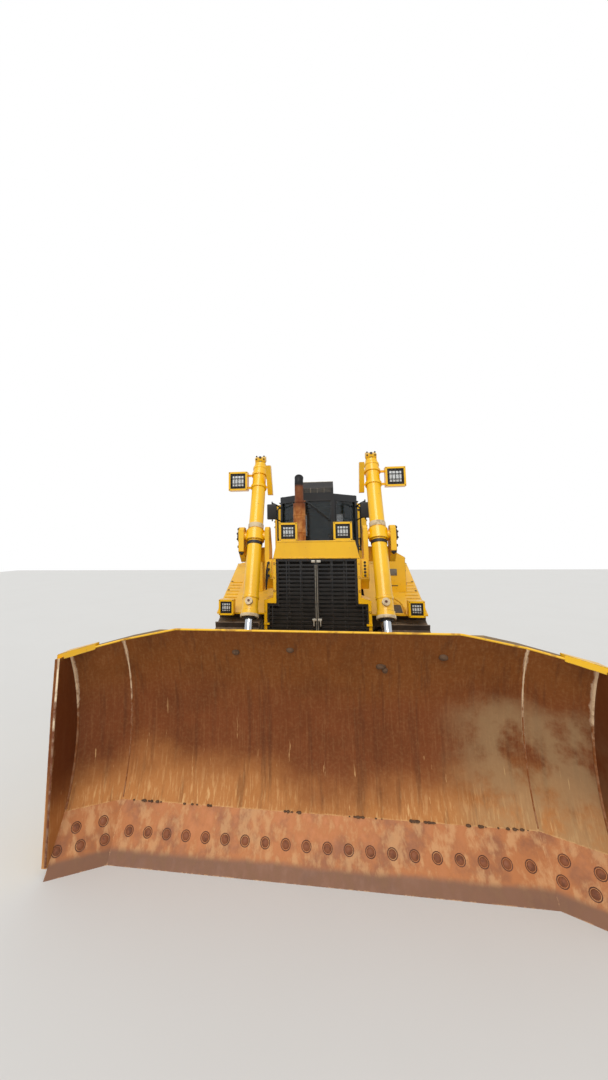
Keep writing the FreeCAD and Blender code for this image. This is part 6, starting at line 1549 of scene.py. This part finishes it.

# ---- ripper: pin heads and their bolts
ripper = dict(rootY=1.780, rootZ=0.700, rise=0.430, run=1.350, rootSide=0.380, lowerOut=0.492, upperOut=0.300)
ripPins = []
for z, half in ((ripper["rootZ"], ripper["lowerOut"]), (ripper["rootZ"] + ripper["rise"], ripper["rootSide"])):
    for side in (1, -1):
        ripPins.append((z, side, half))
heads, headBolts = [], []
for z, side, half in ripPins:
    start = at(side * (half + 0.010), ripper["rootY"], z)
    heads.append(addRod(start - Vector((side * 0.012, 0, 0)), start + Vector((side * 0.010, 0, 0)), 0.040, 24, 0.004))
    headBolts.append((start + Vector((side * 0.010, 0, 0)), Vector((side, 0, 0))))
finishPiece(joinPieces("ripperPinHeads", heads), "machine", finishes["boltSteel"])
finishPiece(scatter("ripperPinBolts", makeBolt(0.014, 0.010, 0.020), headBolts), "machine", finishes["boltBlack"])
print("fenders, tanks and rear dressed")

# ---- seat: two padded cushions on a rigid shell, arm rests and levers
seat = dict(half=0.250, front=0.520, rear=1.020, low=2.180, high=2.300, panTop=2.205, backHalf=0.240, backLow=2.300,
            backHigh=2.930, lean=0.1587, voxel=0.011, swell=0.016, channel=0.0035)


def swellPad(name, low, high, channels, seamAlong):
    # a closed crowned pad, blown up as cloth, with sewn channels
    size = Vector(high) - Vector(low)
    pad = addBox(low, high, min(size) * 0.3, 3)
    clearSelection()
    pad.select_set(True)
    bpy.context.view_layer.objects.active = pad
    remesh = pad.modifiers.new("even", "REMESH")
    remesh.mode = "VOXEL"
    remesh.voxel_size = seat["voxel"]
    bpy.ops.object.modifier_apply(modifier="even")
    before = [vertex.co.copy() for vertex in pad.data.vertices]
    cloth = pad.modifiers.new("swell", "CLOTH")
    cloth.settings.use_pressure = True
    cloth.settings.uniform_pressure_force = 4.0
    cloth.settings.effector_weights.gravity = 0.0
    cloth.settings.quality = 4
    for frame in range(1, 21):
        bpy.context.scene.frame_set(frame)
    bpy.ops.object.modifier_apply(modifier="swell")
    bpy.context.scene.frame_set(1)
    for vertex, start in zip(pad.data.vertices, before):
        moved = vertex.co - start
        if moved.length > seat["swell"]:
            vertex.co = start + moved * (seat["swell"] / moved.length)
    middle = (Vector(low) + Vector(high)) / 2
    for vertex in pad.data.vertices:
        fall = 1.0
        for spot in channels:
            fall -= 0.9 * math.exp(-((vertex.co[seamAlong] - spot) / 0.012) ** 2)
        thin = min(range(3), key=lambda axis: size[axis])
        away = vertex.co[thin] - middle[thin]
        vertex.co[thin] = middle[thin] + away * (1.0 - 0.10 * (1.0 - max(fall, 0.0)))
    smooth = pad.modifiers.new("soft", "SUBSURF")
    smooth.levels = 1
    bpy.ops.object.modifier_apply(modifier="soft")
    pad.name = pad.data.name = name
    return pad


def leanBack(piece):
    # tips a piece of the backrest over its lower edge
    for vertex in piece.data.vertices:
        vertex.co.y += (vertex.co.z - seat["backLow"]) * seat["lean"]
    return piece


base = at(0, 0, 0).y
shell = [addBox(at(-0.235, 0.540, 2.165), at(0.235, 1.000, seat["panTop"]), 0.018, 3), addBox(at(-0.200, 0.600, 1.800), at(0.200, 0.960, 1.835), 0.008)]
for i in range(6):
    inset = 0.018 if i % 2 else 0.0
    z = 1.835 + i * 0.055
    shell.append(addBox(at(-0.185 + inset, 0.620 + inset, z), at(0.185 - inset, 0.940 - inset, z + 0.055), 0.010))
backShell = leanBack(addBox(at(-0.225, 1.010, 2.215), at(0.225, 1.045, 2.900), 0.016, 3))
shell.append(backShell)
for side in (1, -1):
    shell.append(addBox(at(side * 0.270 - 0.020, 0.800, 2.170), at(side * 0.270 + 0.020, 0.860, 2.430), 0.006))
    shell.append(addBox(at(side * 0.245 - 0.030, 0.800, 2.170), at(side * 0.245 + 0.030, 0.860, 2.200), 0.006))
    shell.append(addBox(at(side * 0.300 - 0.050, 0.580, 2.420), at(side * 0.300 + 0.050, 1.000, 2.480), 0.020, 3))
shellPiece = finishPiece(joinPieces("seatShell", shell), "machine", finishes["trim"])
levers = []
for side in (1, -1):
    levers.append(addRod(at(side * 0.300, 0.640, 2.474), at(side * 0.300, 0.640, 2.590), 0.008, 12, 0.001))
    levers.append(addRod(at(side * 0.300, 0.640, 2.570), at(side * 0.300, 0.633, 2.650), 0.017, 20, 0.007, endRadius=0.022))
    levers.append(addRod(at(side * 0.300, 0.640, 2.474), at(side * 0.300, 0.640, 2.494), 0.030, 20, 0.004, endRadius=0.014))
finishPiece(joinPieces("seatLevers", levers), "machine", finishes["grip"])
cushion = swellPad("seatCushion", at(-0.232, 0.538, 2.203), at(0.232, 0.995, 2.288), (-0.11, 0.11), 0)
finishPiece(cushion, "machine", finishes["seat"])
backPad = swellPad("seatBackPad", at(-0.222, 0.962, 2.300), at(0.222, 1.018, 2.905), (2.46, 2.62, 2.78), 2)
leanBack(backPad)
finishPiece(backPad, "machine", finishes["seat"])
for piece in (shellPiece, cushion, backPad):
    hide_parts("seat")
# piping along the cushion's front and sides
piping = [addTube([at(-0.225, 0.98, 2.246), at(-0.240, 0.90, 2.246), at(-0.243, 0.58, 2.246), at(-0.222, 0.532, 2.246), at(0, 0.524, 2.246),
                   at(0.222, 0.532, 2.246), at(0.243, 0.58, 2.246), at(0.240, 0.90, 2.246), at(0.225, 0.98, 2.246)], 0.006, 8)]
finishPiece(joinPieces("seatPiping", piping), "machine", finishes["trim"])

# ---- console: a display, switches and a foot pedal pair
panel = [addBox(at(-0.085, 0.020, 2.455), at(0.085, 0.050, 2.560), 0.006)]
finishPiece(joinPieces("consoleDisplay", panel), "machine", finishes["trim"])
screen = [addBox(at(-0.070, 0.047, 2.468), at(0.070, 0.053, 2.548), 0.003)]
finishPiece(joinPieces("consoleScreen", screen), "machine", finishes["grayPlate"])
switches = []
for i in range(7):
    spot = at(-0.165 + i * 0.055, 0.135, 2.385)
    switches.append(addBox(spot - Vector((0.014, 0.010, 0.012)), spot + Vector((0.014, 0.006, 0.012)), 0.003))
finishPiece(joinPieces("consoleSwitches", switches), "machine", finishes["grip"])
pedals = []
for x in (-0.10, 0.10):
    pedals.append(addBox(at(x - 0.045, 0.215, 1.870), at(x + 0.045, 0.235, 2.000), 0.006))
    pedals.append(addRod(at(x, 0.165, 1.900), at(x, 0.226, 1.920), 0.012, 12, 0.002))
finishPiece(joinPieces("consolePedals", pedals), "machine", finishes["boltBlack"])
print("seat and console dressed")

# ---- floor, light and camera
stage = dict(floorSize=60.0, floorColour=srgb(214, 212, 208), sunAngle=35.0, sunStrength=1.6, skyStrength=0.78)
clearSelection()
bpy.ops.mesh.primitive_plane_add(size=stage["floorSize"], location=(0, 0, 0))
floor = bpy.context.object
floor.name = "studioFloor"
floorMaterial, floorTree, floorShader = startFinish("floorPale")
floorGrain = useGroup(floorTree, speckle, Scale=0.7, Detail=3.0, Low=0.3, High=0.8)
floorTree.links.new(mixColour(floorTree, math2(floorTree, "MULTIPLY", floorGrain.outputs["Mask"], 0.15),
                              stage["floorColour"], srgb(204, 201, 196)), floorShader.inputs["Base Color"])
floorShader.inputs["Roughness"].default_value = 0.9
floor.data.materials.append(floorMaterial)

world = bpy.data.worlds.new("studioSky")
bpy.context.scene.world = world
world.use_nodes = True
sky = world.node_tree
sky.nodes.clear()
rays = sky.nodes.new("ShaderNodeLightPath")
seen = math2(sky, "MAXIMUM", rays.outputs["Is Camera Ray"],
             math2(sky, "MAXIMUM", rays.outputs["Is Transmission Ray"], 0.0))
glow = sky.nodes.new("ShaderNodeBackground")
glow.inputs["Color"].default_value = (0.93, 0.96, 1.0, 1)
glow.inputs["Strength"].default_value = stage["skyStrength"]
plain = sky.nodes.new("ShaderNodeBackground")
plain.inputs["Color"].default_value = (1, 1, 1, 1)
plain.inputs["Strength"].default_value = 1.0
blendSky = sky.nodes.new("ShaderNodeMixShader")
sky.links.new(seen, blendSky.inputs[0])
sky.links.new(glow.outputs[0], blendSky.inputs[1])
sky.links.new(plain.outputs[0], blendSky.inputs[2])
skyOut = sky.nodes.new("ShaderNodeOutputWorld")
sky.links.new(blendSky.outputs[0], skyOut.inputs[0])

clearSelection()
bpy.ops.object.light_add(type="SUN", rotation=(math.radians(42), math.radians(14), math.radians(-24)))
sun = bpy.context.object.data
sun.energy = stage["sunStrength"]
sun.angle = math.radians(stage["sunAngle"])
sun.color = (1.0, 0.97, 0.92)

lens = dict(place=(0.148, -6.3316, 2.367), yaw=7.65, pitch=7.58, roll=-0.61, focal=402.6, centre=(273.7, 489.6),
            frameSize=(608, 1080))
bpy.ops.object.camera_add(location=lens["place"])
camera = bpy.context.object
yaw, pitch, roll = (math.radians(lens[key]) for key in ("yaw", "pitch", "roll"))
ahead = Vector((-math.sin(yaw) * math.cos(pitch), math.cos(yaw) * math.cos(pitch), math.sin(pitch)))
level = Vector((math.cos(yaw), math.sin(yaw), 0))
upright = level.cross(ahead)
right = level * math.cos(roll) + upright * math.sin(roll)
above = upright * math.cos(roll) - level * math.sin(roll)
camera.matrix_world = Matrix.Translation(Vector(lens["place"])) @ Matrix((right, above, -ahead)).transposed().to_4x4()
tall = lens["frameSize"][1]
camera.data.sensor_fit = "VERTICAL"
camera.data.sensor_height = 24.0
camera.data.lens = 24.0 * lens["focal"] / tall
camera.data.shift_x = (lens["frameSize"][0] / 2 - lens["centre"][0]) / tall
camera.data.shift_y = (lens["centre"][1] - tall / 2) / tall
camera.data.clip_end = 200
bpy.context.scene.camera = camera
bpy.context.scene.view_settings.view_transform = "Standard"
print("camera and light set")
